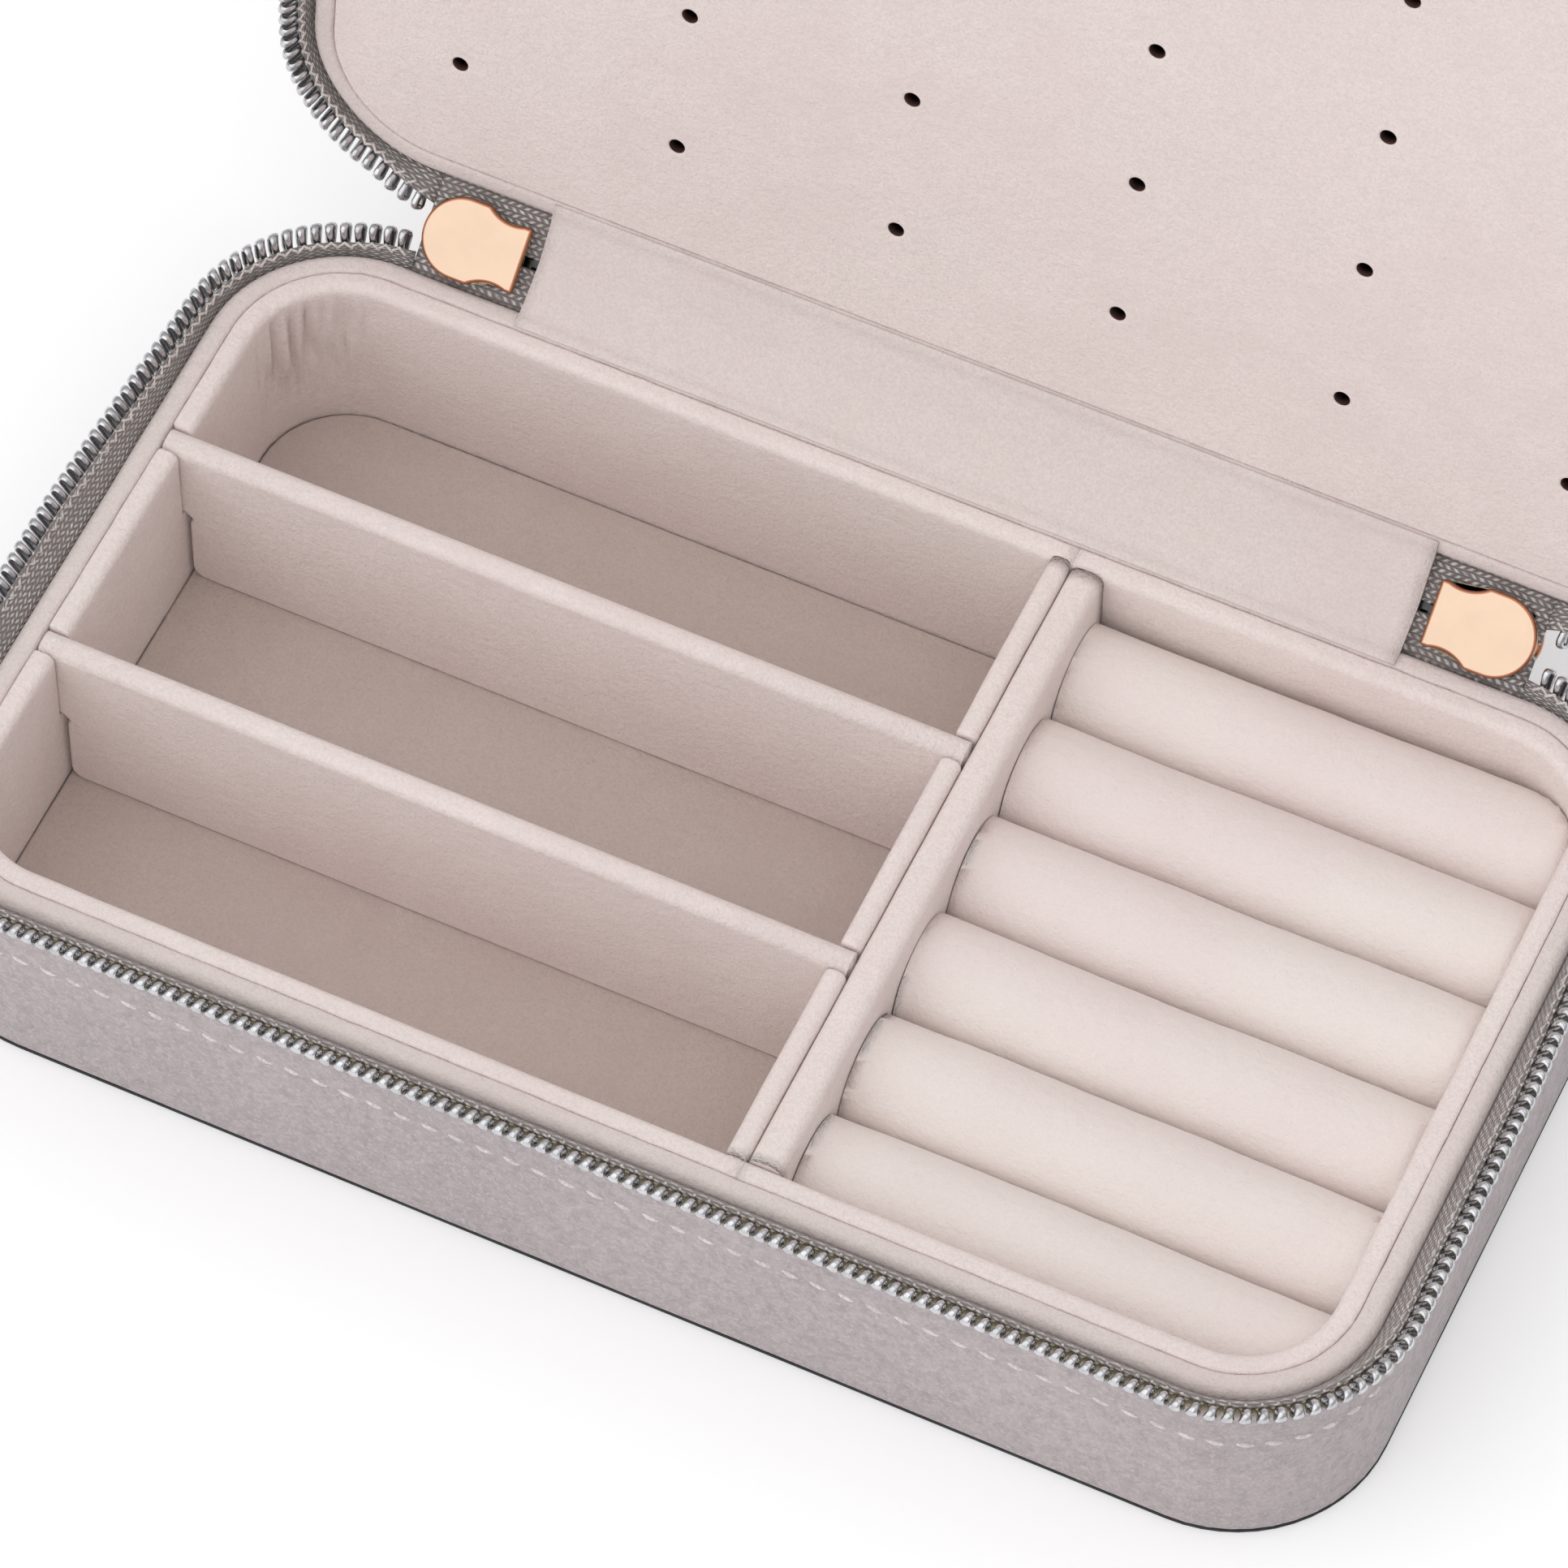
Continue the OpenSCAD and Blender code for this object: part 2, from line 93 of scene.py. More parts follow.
class CaseSizes(bpy.types.PropertyGroup):
    tray_length: length("Tray length", "Between the side seams", 160.0)
    tray_depth: length("Tray depth", "Between the front and back seams", 87.0)
    seam_radius: length("Seam radius", "Radius of the tray seam at the corners", 13.0)
    base_height: length("Base height", "Table to tray top", 25.6)
    lid_height: length("Lid height", "Lid rim to its outer face", 15.0)
    leather_out: length("Leather face", "Tray seam out to the leather face", 4.5)
    rim_width: length("Rim width", "Width of the padded rim", 2.6)
    rim_gap: length("Rim gap", "Between the rims with the lid closed", 10.0)
    lining: length("Lining", "Thickness of the lining walls", 2.5)
    floor_top: length("Floor", "Table to the floor's surface", 2.4)
    section_x: length("Section wall", "Where the left section ends, from the middle", 15.7)
    ring_wall: length("Ring wall", "Thickness of the wall beside the rolls", 3.9)
    divider: length("Divider", "Thickness of a divider", 3.0)
    ear_depth: length("Ear depth", "Depth of a divider's ears", 11.4)
    roll_drop: length("Roll drop", "Tray top down to the rolls", 4.2)
    roll_swell: length("Roll swell", "How unevenly the foam fills its velvet", 0.28)
    pitch: length("Coil pitch", "Spacing of the coil's loops", 1.65)
    wire: length("Coil wire", "Radius of the coil's wire", 0.3)
    stitch_pitch: length("Stitch pitch", "Spacing of the leather's stitches", 3.16)
    stitch_length: length("Stitch length", "Length of one stitch", 2.05)
    stitch_drop: length("Stitch drop", "Tray top down to the stitches", 6.8)


class CaseColours(bpy.types.PropertyGroup):
    velvet: colour("Velvet", "Walls, rims, dividers and earring panel", 228, 216, 213)
    floor: colour("Floor", "Velvet of the compartment floors", 206, 191, 185)
    rolls: colour("Rolls", "Velvet of the ring rolls", 238, 227, 224)
    leather: colour("Leather", "Outer cover", 184, 174, 176)
    thread: colour("Leather thread", "Stitches in the leather", 232, 224, 224)
    sewing: colour("Sewing thread", "Stitches that hold the coil", 232, 220, 190)
    tape: colour("Tape", "Woven zipper tape", 178, 168, 165)
    coil: colour("Coil", "Silvered coil", 216, 216, 219)
    gold: colour("Gold", "Sliders and pulls", 218, 191, 168)


def sizes():
    """The case's sizes in millimetres, with the few that follow from them."""
    group = bpy.context.scene.case_sizes
    c = SimpleNamespace(**{key: getattr(group, key) / MM for key in CaseSizes.__annotations__})
    c.half_l, c.half_d = c.tray_length / 2, c.tray_depth / 2
    c.mid_x, c.mid_y = c.half_l - c.seam_radius, c.half_d - c.seam_radius
    c.hinge = Vector((5.3, c.rim_gap / 2))
    c.bend = Vector(((c.rim_width + c.leather_out - LEATHER_THICK) / 2, LEATHER_TOP))
    return c


# ---------- places ----------

QUARTER_TURN = math.pi / 2
QUARTER = Matrix.Rotation(QUARTER_TURN, 4, "Z")
OPEN_ANGLE = math.radians(100)
HALF_ANGLE = QUARTER_TURN - OPEN_ANGLE / 2
ACROSS = Vector((math.cos(HALF_ANGLE), math.sin(HALF_ANGLE)))
INWARD = Vector((-math.sin(HALF_ANGLE), math.cos(HALF_ANGLE)))
ZIP_LOW, ZIP_OUT = 0.3, 3.4
FLAP_HALF = 52.2
LEVEL = 0.01


def clamp(value, low=0.0, high=1.0):
    return max(low, min(high, value))


def base_place(c):
    return Matrix.Translation((0, 0, c.base_height))


def lid_place(c):
    """Turns a drawing of the base's ring into the open lid."""
    y = c.half_d + c.hinge.x
    return (
        Matrix.Translation((0, y, c.base_height + c.hinge.y))
        @ Matrix.Rotation(-OPEN_ANGLE, 4, "X")
        @ Matrix.Diagonal((1, 1, -1, 1))
        @ Matrix.Translation((0, -y, -c.hinge.y))
    )


def back_place(c, x):
    """Stands an (outwards, height) drawing across the back seam at x."""
    return Matrix.Translation((x, c.half_d, c.base_height)) @ QUARTER


def lid_side(c, out, height):
    """A point of the closed lid, from its rim, where it lies with the lid open."""
    v = Vector((out, c.rim_gap - height)) - c.hinge
    cos, sin = math.cos(OPEN_ANGLE), math.sin(OPEN_ANGLE)
    return c.hinge + Vector((v.x * cos + v.y * sin, v.y * cos - v.x * sin))


def hinge_point(c, u, v):
    """A point of the open hinge: u from the base's side to the lid's, v inwards."""
    return c.hinge + u * ACROSS + v * INWARD


def zip_point(c, u, v):
    """The same from the middle of the slider's slot."""
    return hinge_point(c, u - ZIP_LOW, v - ZIP_OUT)


def on_seam(c, co):
    """How far along the seam a point is, its nearest corner centre and its arm from there."""
    centre = Vector((clamp(co.x, -c.mid_x, c.mid_x), clamp(co.y, -c.mid_y, c.mid_y)))
    arm = co.xy - centre
    angle = math.atan2(arm.y, arm.x) % (2 * math.pi)
    hair = 1e-6
    if angle > 2 * math.pi - hair:
        angle = 0.0
    if angle <= QUARTER_TURN + hair:
        run = centre.y + c.mid_x - centre.x
    elif angle <= math.pi + hair:
        run = 2 * c.mid_y - centre.y + c.mid_x - centre.x
    else:
        run = 3 * c.mid_y + 3 * c.mid_x + centre.x
    return run + c.seam_radius * angle, centre, arm


def along_seam(c, pitch, out, back_gap):
    """Even places round the seam, x outwards and y along it, with a gap in the back.

    The corners are filled by the pitch at a distance out from the seam.
    """
    places = []
    for side in range(4):
        reach = c.half_d if side % 2 else c.half_l
        run = 2 * (c.mid_x if side % 2 else c.mid_y)
        turned = Matrix.Rotation(QUARTER_TURN * side, 4, "Z")
        count = round(run / pitch)
        for i in range(count):
            y = (i - (count - 1) / 2) * run / count
            if side != 1 or abs(y) >= back_gap:
                places.append(turned @ Matrix.Translation((reach, y, 0)))
        corner = turned @ Matrix.Translation((reach - c.seam_radius, run / 2, 0))
        count = round((c.seam_radius + out) * QUARTER_TURN / pitch)
        for i in range(count):
            places.append(
                corner @ Matrix.Rotation((i + 0.5) * QUARTER_TURN / count, 4, "Z")
                @ Matrix.Translation((c.seam_radius, 0, 0)))
    return places


# ---------- modelling ----------

def verts_of(geom):
    return [v for v in geom if isinstance(v, bmesh.types.BMVert)]


def edges_of(geom):
    return [e for e in geom if isinstance(e, bmesh.types.BMEdge)]


def edges_level(bm, axis, *levels):
    """Edges that lie wholly at one of the levels of an axis."""
    return [e for e in bm.edges if any(
        all(abs(v.co[axis] - level) < LEVEL for v in e.verts) for level in levels)]


def round_corners(bm, verts, radius, segments):
    bmesh.ops.bevel(
        bm, geom=verts, offset=radius, offset_type="OFFSET", segments=segments,
        profile=0.5, affect="VERTICES", material=-1,
    )


def bevel(bm, edges, width, segments=3):
    bmesh.ops.bevel(
        bm, geom=list(edges), offset=width, offset_type="OFFSET", segments=segments,
        profile=0.5, affect="EDGES", clamp_overlap=True, material=-1,
    )


def plate(bm, reach_x, reach_y, height):
    """Flat rectangle about the middle; returns its corners."""
    verts = [bm.verts.new((x, y, height)) for x, y in (
        (reach_x, -reach_y), (reach_x, reach_y), (-reach_x, reach_y), (-reach_x, -reach_y))]
    bm.faces.new(verts)
    return verts


def thicken(bm, way):
    """Carries the flat faces along a direction to make a solid."""
    made = bmesh.ops.extrude_face_region(bm, geom=bm.faces[:])
    bmesh.ops.translate(bm, vec=way, verts=verts_of(made["geom"]))


def profile(bm, corners, place, cell=0.0, segments=4):
    """Closed profile in (outwards, height) with a radius at each corner; returns its edges."""
    verts = [bm.verts.new((out, 0, height)) for out, height, _ in corners]
    bm.faces.new(verts)
    old = set(bm.verts) - set(verts)
    for vert, (_, _, radius) in zip(verts, corners):
        if radius:
            round_corners(bm, [vert], radius, segments)
    loop = [v for v in bm.verts if v not in old]
    face = loop[0].link_faces[0]
    edges = list(face.edges)
    bmesh.ops.delete(bm, geom=[face], context="FACES_ONLY")
    if cell:
        for edge in list(edges):
            cuts = int(edge.calc_length() / cell)
            if cuts:
                made = bmesh.ops.subdivide_edges(bm, edges=[edge], cuts=cuts)
                edges += edges_of(made["geom"])
    edges = list({e for e in edges if e.is_valid})
    verts = list({v for e in edges for v in e.verts})
    bmesh.ops.transform(bm, matrix=place, verts=verts)
    return edges


def line(dx, dy, step):
    return "line", (dx, dy), max(1, round(math.hypot(dx, dy) / step))


def turn(x, y, steps):
    return "turn", (x, y), steps


def sweep(bm, edges, legs, closed=False):
    """Carries a profile along straight and turned legs and closes its ends."""
    first = edges
    for kind, (x, y), steps in legs:
        path = (
            dict(dvec=(x / steps, y / steps, 0), angle=0.0, cent=(0, 0, 0))
            if kind == "line" else
            dict(dvec=(0, 0, 0), angle=QUARTER_TURN, cent=(x, y, 0))
        )
        made = bmesh.ops.spin(
            bm, geom=edges, axis=(0, 0, 1), steps=steps, use_merge=False,
            use_duplicate=False, **path,
        )
        edges = edges_of(made["geom_last"])
    if closed:
        bmesh.ops.remove_doubles(bm, verts=bm.verts, dist=0.01)
    else:
        for loop in (first, edges):
            bmesh.ops.contextual_create(bm, geom=loop)
    return bm


def right_seam(c):
    return Matrix.Translation((c.half_l, -c.mid_y, 0))


def ring_legs(c, step, steps):
    """Once round the seam, from the front end of the right side."""
    return (
        line(0, 2 * c.mid_y, step), turn(c.mid_x, c.mid_y, steps),
        line(-2 * c.mid_x, 0, step), turn(-c.mid_x, c.mid_y, steps),
        line(0, -2 * c.mid_y, step), turn(-c.mid_x, -c.mid_y, steps),
        line(2 * c.mid_x, 0, step), turn(c.mid_x, -c.mid_y, steps),
    )


def around(c, bm, rule):
    """Moves the points of a swept ring outwards and up by a rule of (run, out, height, co)."""
    for vert in bm.verts:
        run, centre, arm = on_seam(c, vert.co)
        reach = arm.length
        out, up = rule(run, reach - c.seam_radius, vert.co.z, vert.co)
        vert.co.xy = centre + arm * ((reach + out) / reach)
        vert.co.z += up


def lay(c, bm, across):
    """UV map in millimetres: u along the seam, v by a rule of the place."""
    uv = bm.loops.layers.uv.new("Lay")
    total = 4 * (c.mid_x + c.mid_y) + 2 * math.pi * c.seam_radius
    for face in bm.faces:
        runs = [on_seam(c, loop.vert.co)[0] for loop in face.loops]
        high = max(runs)
        for loop, run in zip(face.loops, runs):
            u = run + total if high - run > total / 2 else run
            loop[uv].uv = (u, across(loop.vert.co))


def waver(place, amount, scale):
    """Smooth unevenness of an amount in millimetres, with a scale per millimetre."""
    return amount * noise.noise(place * scale)


def near_top(height):
    """1 at the tray top, fading to 0 two millimetres below it."""
    return max(0.0, 1.0 + height / 2.0)


def seam_wander(co):
    """The sewn seam's slight wander, the same on both sides of it."""
    at = Vector((co.x, co.y, 0.0))
    return waver(at, 0.10, 0.35) + 0.07 * noise.noise(at * 1.1 + Vector((7, 3, 1)))


def soften(bm, amount, scale, seed):
    """Uneven padding: moves points along their normals by a smooth noise."""
    bm.normal_update()
    shift = Vector((seed, seed, seed))
    for vert in bm.verts:
        vert.co += vert.normal * amount * noise.noise(vert.co * scale + shift)


def finished(bm, name, slot, body, nodes=(), place=None, even=False, finish=None):
    """Turns a drawing in millimetres into a piece in its place, finish and body."""
    if place:
        bmesh.ops.transform(bm, matrix=place, verts=bm.verts)
    bmesh.ops.recalc_face_normals(bm, faces=bm.faces)
    bmesh.ops.scale(bm, vec=(MM, MM, MM), verts=bm.verts)
    mesh = template(bm, name)
    mesh.shade_smooth()
    mesh.materials.append(bpy.data.materials[finish or slot])
    piece = bpy.data.objects.new(name, mesh)
    bpy.context.scene.collection.objects.link(piece)
    if even:
        even_shading(piece)
    if body:
        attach(piece, body)
    if nodes:
        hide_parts(*nodes)
    return piece


def even_shading(piece):
    """Shades a piece by its large faces."""
    weighted = piece.modifiers.new("Even shading", "WEIGHTED_NORMAL")
    weighted.weight = 100


def repeat(bm, mesh, places):
    """Adds a copy of a small mesh at each place."""
    for place in places:
        copy = mesh.copy()
        copy.transform(place)
        bm.from_mesh(copy)
        bpy.data.meshes.remove(copy)


def template(bm, name):
    mesh = bpy.data.meshes.new(name)
    bm.to_mesh(mesh)
    bm.free()
    return mesh


# ---------- materials ----------

class Finish:
    """A material under construction, with short ways to add and join nodes."""

    def __init__(self, name):
        self.material = bpy.data.materials.get(name) or bpy.data.materials.new(name)
        self.material.use_nodes = True
        self.tree = self.material.node_tree
        self.tree.nodes.clear()
        self.shader = self.add("ShaderNodeBsdfPrincipled")
        self.add("ShaderNodeOutputMaterial", {"Surface": self.shader.outputs["BSDF"]})
        self.coords = self.add("ShaderNodeTexCoord")

    def add(self, kind, links=(), **values):
        node = self.tree.nodes.new(kind)
        for key, value in values.items():
            if hasattr(node, key):
                setattr(node, key, value)
            else:
                node.inputs[key.replace("_", " ")].default_value = value
        for socket, source in dict(links).items():
            self.tree.links.new(source, node.inputs[socket])
        return node

    def set(self, **values):
        for key, value in values.items():
            self.shader.inputs[key.replace("_", " ")].default_value = value

    def link(self, socket, source):
        self.tree.links.new(source, self.shader.inputs[socket])

    def noise(self, scale, detail, rough, distortion=0.0):
        """Texture with a scale per metre, its levels of detail and their strength."""
        return self.add(
            "ShaderNodeTexNoise", {"Vector": self.coords.outputs["Object"]},
            Scale=scale, Detail=detail, Roughness=rough, Distortion=distortion,
        ).outputs["Fac"]

    def ramp(self, source, low, high, start=0.0, end=1.0):
        return self.add(
            "ShaderNodeMapRange", {"Value": source},
            From_Min=low, From_Max=high, To_Min=start, To_Max=end,
        ).outputs["Result"]

    def math(self, operation, *values):
        node = self.add("ShaderNodeMath", operation=operation)
        for i, value in enumerate(values):
            if isinstance(value, (int, float)):
                node.inputs[i].default_value = value
            else:
                self.tree.links.new(value, node.inputs[i])
        return node.outputs[0]

    def plus(self, first, second):
        return self.math("ADD", first, second)

    def times(self, first, second):
        return self.math("MULTIPLY", first, second)

    def mix(self, factor, first, second):
        node = self.add("ShaderNodeMix", data_type="RGBA")
        self.tree.links.new(factor, node.inputs[0])
        for socket, value in ((6, first), (7, second)):
            if isinstance(value, tuple):
                node.inputs[socket].default_value = (*value, 1.0)
            else:
                self.tree.links.new(value, node.inputs[socket])
        return node.outputs[2]

    def over(self, below, source, low, high, amount, above):
        """Lays a colour over another where a texture rises from low to high."""
        return self.mix(self.ramp(source, low, high, 0.0, amount), below, above)

    def bump(self, height, distance):
        node = self.add("ShaderNodeBump", {"Height": height}, Distance=distance, Strength=1.0)
        self.link("Normal", node.outputs["Normal"])


def shade(tone, factor):
    return tint(tone, factor, factor, factor)


def tint(tone, red, green, blue):
    return tuple(min(1.0, c * f) for c, f in zip(tone, (red, green, blue)))


def velvet(name, tone, nap=1.0):
    """Short-pile velvet, clouded by how the pile lies and speckled by its nap."""
    m = Finish(name)
    cloud = m.noise(30, 3, 0.55)
    brushed = m.noise(170, 3, 0.6)
    pile = m.noise(3000, 2, 0.75)
    tufts = m.noise(900, 3, 0.65)
    dull, bright = tint(tone, 0.985, 0.955, 0.955), tint(tone, 1.01, 1.02, 1.0)
    shown = m.mix(m.ramp(cloud, 0.35, 0.65), dull, bright)
    shown = m.over(shown, brushed, 0.42, 0.66, 0.45 * nap, shade(tone, 1.06))
    shown = m.over(shown, pile, 0.42, 0.62, 0.6 * nap, shade(tone, 0.86))
    shown = m.over(shown, tufts, 0.48, 0.68, 0.3 * nap, shade(tone, 0.88))
    m.link("Base Color", shown)
    m.set(Roughness=0.95, Sheen_Weight=0.22, Sheen_Roughness=0.45, Specular_IOR_Level=0.15,
          Sheen_Tint=(1.0, 0.97, 0.95, 1.0))
    height = m.plus(m.times(pile, 0.25), m.times(tufts, 0.45))
    m.bump(m.plus(height, m.times(brushed, 0.3)), 0.00045)


def leather(name, tone):
    """Smooth leather with a fine pebble, short creases and faint pale scuffs."""
    m = Finish(name)
    pebble = m.add(
        "ShaderNodeTexVoronoi", {"Vector": m.coords.outputs["Object"]},
        feature="SMOOTH_F1", Scale=1500.0,
    ).outputs["Distance"]
    crease = m.noise(620, 4, 0.75)
    cloud = m.noise(26, 4, 0.6, distortion=0.4)
    scuff = m.noise(85, 5, 0.7, distortion=0.8)
    grain = m.noise(2400, 2, 0.6)
    dull, bright = tint(tone, 0.92, 0.91, 0.92), tint(tone, 1.08, 1.06, 1.05)
    shown = m.mix(m.ramp(cloud, 0.35, 0.65), dull, bright)
    shown = m.over(shown, crease, 0.42, 0.66, 0.75, shade(tone, 0.74))
    shown = m.over(shown, grain, 0.5, 0.66, 0.6, shade(tone, 1.3))
    shown = m.over(shown, scuff, 0.56, 0.72, 0.35, shade(tone, 1.22))
    m.link("Base Color", shown)
    m.link("Roughness", m.ramp(crease, 0.3, 0.7, 0.42, 0.62))
    m.bump(m.plus(m.times(pebble, 0.35), m.times(crease, 0.9)), 0.0004)


def woven_tape(name, tone):
    """Herringbone tape on its own UV map in millimetres, with painted shade between the threads
    and painted glints on their crowns.
    """
    row_width, thread_width, slope = 0.6, 0.98, 0.55
    # Colour of the painted glints on the thread crowns.
    crown_glint = (0.86, 0.83, 0.82)
    m = Finish(name)
    uv = m.add("ShaderNodeSeparateXYZ", {"Vector": m.coords.outputs["UV"]})
    along, across = uv.outputs["X"], uv.outputs["Y"]
    uneven = m.plus(across, m.times(m.noise(500, 1, 0.5), 0.3))
    row = m.times(uneven, 1 / row_width)
    in_row = m.math("FRACT", row)
    odd = m.times(m.math("FRACT", m.times(m.math("FLOOR", row), 0.5)), 2.0)
    slant = m.times(m.math("SUBTRACT", m.times(odd, 2.0), 1.0), in_row)
    in_thread = m.math("FRACT", m.plus(m.times(along, 1 / thread_width), m.times(slant, slope)))
    crown = m.math("PINGPONG", in_thread, 0.5)
    edge = m.math("PINGPONG", in_row, 0.5)
    rounded = m.times(m.times(crown, 2.0), m.ramp(edge, 0.0, 0.25))
    # Darker between the thread crowns: painted shade in the weave.
    shown = m.mix(m.ramp(rounded, 0.05, 0.6), shade(tone, 0.42), tone)
    # Pale flecks on the thread crowns: painted glints.
    shown = m.over(shown, m.times(rounded, m.noise(420, 3, 0.7)), 0.26, 0.46, 0.9, crown_glint)
    shown = m.over(shown, m.noise(1800, 2, 0.7), 0.5, 0.7, 0.5, shade(tone, 0.5))
    m.link("Base Color", shown)
    m.set(Roughness=0.5, Sheen_Weight=0.15)
    m.bump(rounded, 0.00022)


def metal(name, tone, roughness):
    """Polished plating with faint wear in its gloss."""
    m = Finish(name)
    wear = m.noise(220, 4, 0.6)
    m.link("Base Color", m.over(tone, wear, 0.4, 0.7, 0.5, shade(tone, 0.92)))
    m.set(Metallic=1.0)
    m.link("Roughness", m.ramp(wear, 0.3, 0.7, roughness, roughness + 0.08))
    m.bump(m.noise(500, 2, 0.5), 0.00001)


def coil_wire(name, tone):
    """Silvered coil, worn darker in patches."""
    m = Finish(name)
    wear = m.noise(700, 3, 0.6)
    m.link("Base Color", m.mix(m.ramp(wear, 0.35, 0.7), tone, shade(tone, 0.72)))
    m.set(Metallic=1.0)
    m.link("Roughness", m.ramp(wear, 0.3, 0.7, 0.14, 0.28))
    m.bump(wear, 0.00003)


def thread(name, tone):
    """Twisted sewing thread."""
    m = Finish(name)
    ply = m.noise(2600, 2, 0.6)
    m.link("Base Color", m.mix(m.ramp(ply, 0.35, 0.65), shade(tone, 0.78), shade(tone, 1.1)))
    m.set(Roughness=0.7, Sheen_Weight=0.2)
    m.bump(ply, 0.0001)


def matt_paint_and_shade(name, tone):
    """Matt surface with a fine grain: black paint, bare board, and painted shade in the earring
    holes.
    """
    m = Finish(name)
    grain = m.noise(700, 3, 0.6)
    m.link("Base Color", m.mix(m.ramp(grain, 0.3, 0.7), tone, shade(tone, 2.2)))
    m.set(Roughness=0.55)
    m.bump(grain, 0.00008)


class CASE_OT_finishes(bpy.types.Operator):
    """Makes the finishes and gives every part of the case its own"""

    bl_idname = "case.finishes"
    bl_label = "Finishes"

    def execute(self, context):
        group = context.scene.case_colours
        tones = SimpleNamespace(
            **{key: tuple(getattr(group, key)) for key in group.__annotations__})
        velvet("velvet", tones.velvet)
        # Copy of the velvet 12% brighter for the walls, dividers and earring panel: painted
        # light, as if lit from the front.
        velvet("velvet_wall", shade(tones.velvet, 1.12))
        velvet("velvet_floor", tones.floor)
        velvet("velvet_rolls", tones.rolls, 0.25)
        leather("leather_grey", tones.leather)
        matt_paint_and_shade("edge_black", (0.012, 0.012, 0.014))
        matt_paint_and_shade("board_core", linear(150, 138, 132))
        woven_tape("zip_tape", tones.tape)
        coil_wire("zip_silver", tones.coil)
        # Near-black copy of the coil: painted shade for the chain in the deep fold under the
        # flap.
        coil_wire("zip_shaded", shade(tones.coil, 0.12))
        metal("rose_gold", tones.gold, 0.13)
        # Darker, rougher copy of the gold for the rounded edges: painted shade on the sliders'
        # edges.
        metal("rose_gold_edge", linear(184, 126, 96), 0.22)
        thread("leather_thread", tones.thread)
        thread("sewing_thread", tones.sewing)
        thread("edge_thread", linear(222, 214, 210))
        # Dark brown for the walls of the earring holes: painted shade in the holes.
        matt_paint_and_shade("hole_dark", linear(70, 48, 44))
        for part in frame["record"]["subparts"]:
            slots = NODES[part["node"]].data.materials
            slots.clear()
            # The hinge chain takes the near-black coil: painted shade.
            finish = "zip_shaded" if part["node"] == "hinge_chain" else part["material_slot"]
            slots.append(bpy.data.materials[finish])
        return {"FINISHED"}


# ---------- leather cover ----------

# Corner radii of a wall: inside and outside of its turned-in edge, and its foot.
EDGE_INSIDE, EDGE_OUTSIDE, FOOT_ROUND = 0.3, 0.6, 0.15
PLAIN_DEPTH = 0.9
BULGE = 0.16
CHANNEL, CHANNEL_WIDTH = 0.13, 0.45
# Where each wall starts, and its board's thickness, reach past the wall and edge radius.
BASE_BOARD = (0.6, 0.62, 0.03, 0.1)
LID_BOARD = (0.9, 0.95, -0.02, 0.7)
STITCH_SIZE = (0.7, 0.56)
STITCH_SLANT = math.radians(80)
STITCH_SUNK = 0.04
PLATE_STEPS = 14


def leather_wall(c, name, depth, foot, place, body, node):
    """Wall of the case: turned-in top edge, a channel under the stitches, a soft bulge."""
    bm = bmesh.new()
    low = foot - depth
    inner = c.leather_out - LEATHER_THICK
    edges = profile(bm, (
        (inner, low, 0.0), (inner, LEATHER_TOP, EDGE_INSIDE),
        (c.leather_out, LEATHER_TOP, EDGE_OUTSIDE), (c.leather_out, low, FOOT_ROUND),
    ), right_seam(c), cell=0.7)
    sweep(bm, edges, ring_legs(c, 6.0, 12), closed=True)

    def rule(run, out, height, co):
        if out < inner + PLAIN_DEPTH:
            return 0.0, 0.0
        bulge = BULGE * math.sin(math.pi * clamp(-height / depth))
        channel = -CHANNEL * math.exp(-(((height + c.stitch_drop) / CHANNEL_WIDTH) ** 2))
        return bulge + channel + waver(co, 0.06, 0.08), 0.0

    around(c, bm, rule)
    finished(bm, name, "leather_grey", body, [node], place)


def board(c, name, slot, depth, shape, place, body, node):
    """Bottom or back board with its outer edge rounded over."""
    thick, past, radius = shape
    out, low = c.leather_out + past, -depth
    bm = bmesh.new()
    verts = plate(bm, c.half_l + out, c.half_d + out, low + thick)
    round_corners(bm, verts, c.seam_radius + out, PLATE_STEPS)
    thicken(bm, (0, 0, -thick))
    bevel(bm, edges_level(bm, 2, low), radius, 4)
    finished(bm, name, slot, body, [node], place, even=True)


def stitch_row(c, name, place, body):
    """Slanted running stitches along the channel in the leather."""
    bm = bmesh.new()
    bmesh.ops.create_uvsphere(bm, u_segments=6, v_segments=6, radius=0.5)
    bmesh.ops.scale(bm, vec=(*STITCH_SIZE, c.stitch_length), verts=bm.verts)
    slant = Matrix.Rotation(STITCH_SLANT, 3, "X")
    bmesh.ops.rotate(bm, cent=(0, 0, 0), matrix=slant, verts=bm.verts)
    stitch = template(bm, name + "_one")
    out = c.leather_out - STITCH_SUNK
    drop = Matrix.Translation((out, 0, -c.stitch_drop))
    bm = bmesh.new()
    repeat(bm, stitch, [at @ drop for at in along_seam(c, c.stitch_pitch, out, FLAP_HALF + 2)])
    finished(bm, name, "leather_grey", body, (), place, finish="leather_thread")


class CASE_OT_cover(bpy.types.Operator):
    """Builds the leather walls, their stitches and the bottom and back boards"""

    bl_idname = "case.cover"
    bl_label = "Leather cover"

    def execute(self, context):
        c = sizes()
        base, lid = base_place(c), lid_place(c)
        foot, *sole = BASE_BOARD
        leather_wall(c, "base_cover", c.base_height, foot, base, "base", "base_shell")
        board(c, "base_sole", "edge_black", c.base_height, sole, base, "base", "base_panel")
        foot, *back = LID_BOARD
        leather_wall(c, "lid_cover", c.lid_height, foot, lid, "lid", "lid_shell")
        board(c, "lid_back", "leather_grey", c.lid_height, back, lid, "lid", "lid_panel")
        stitch_row(c, "base_stitches", base, "base")
        stitch_row(c, "lid_stitches", lid, "lid")
        return {"FINISHED"}


# ---------- velvet lining ----------

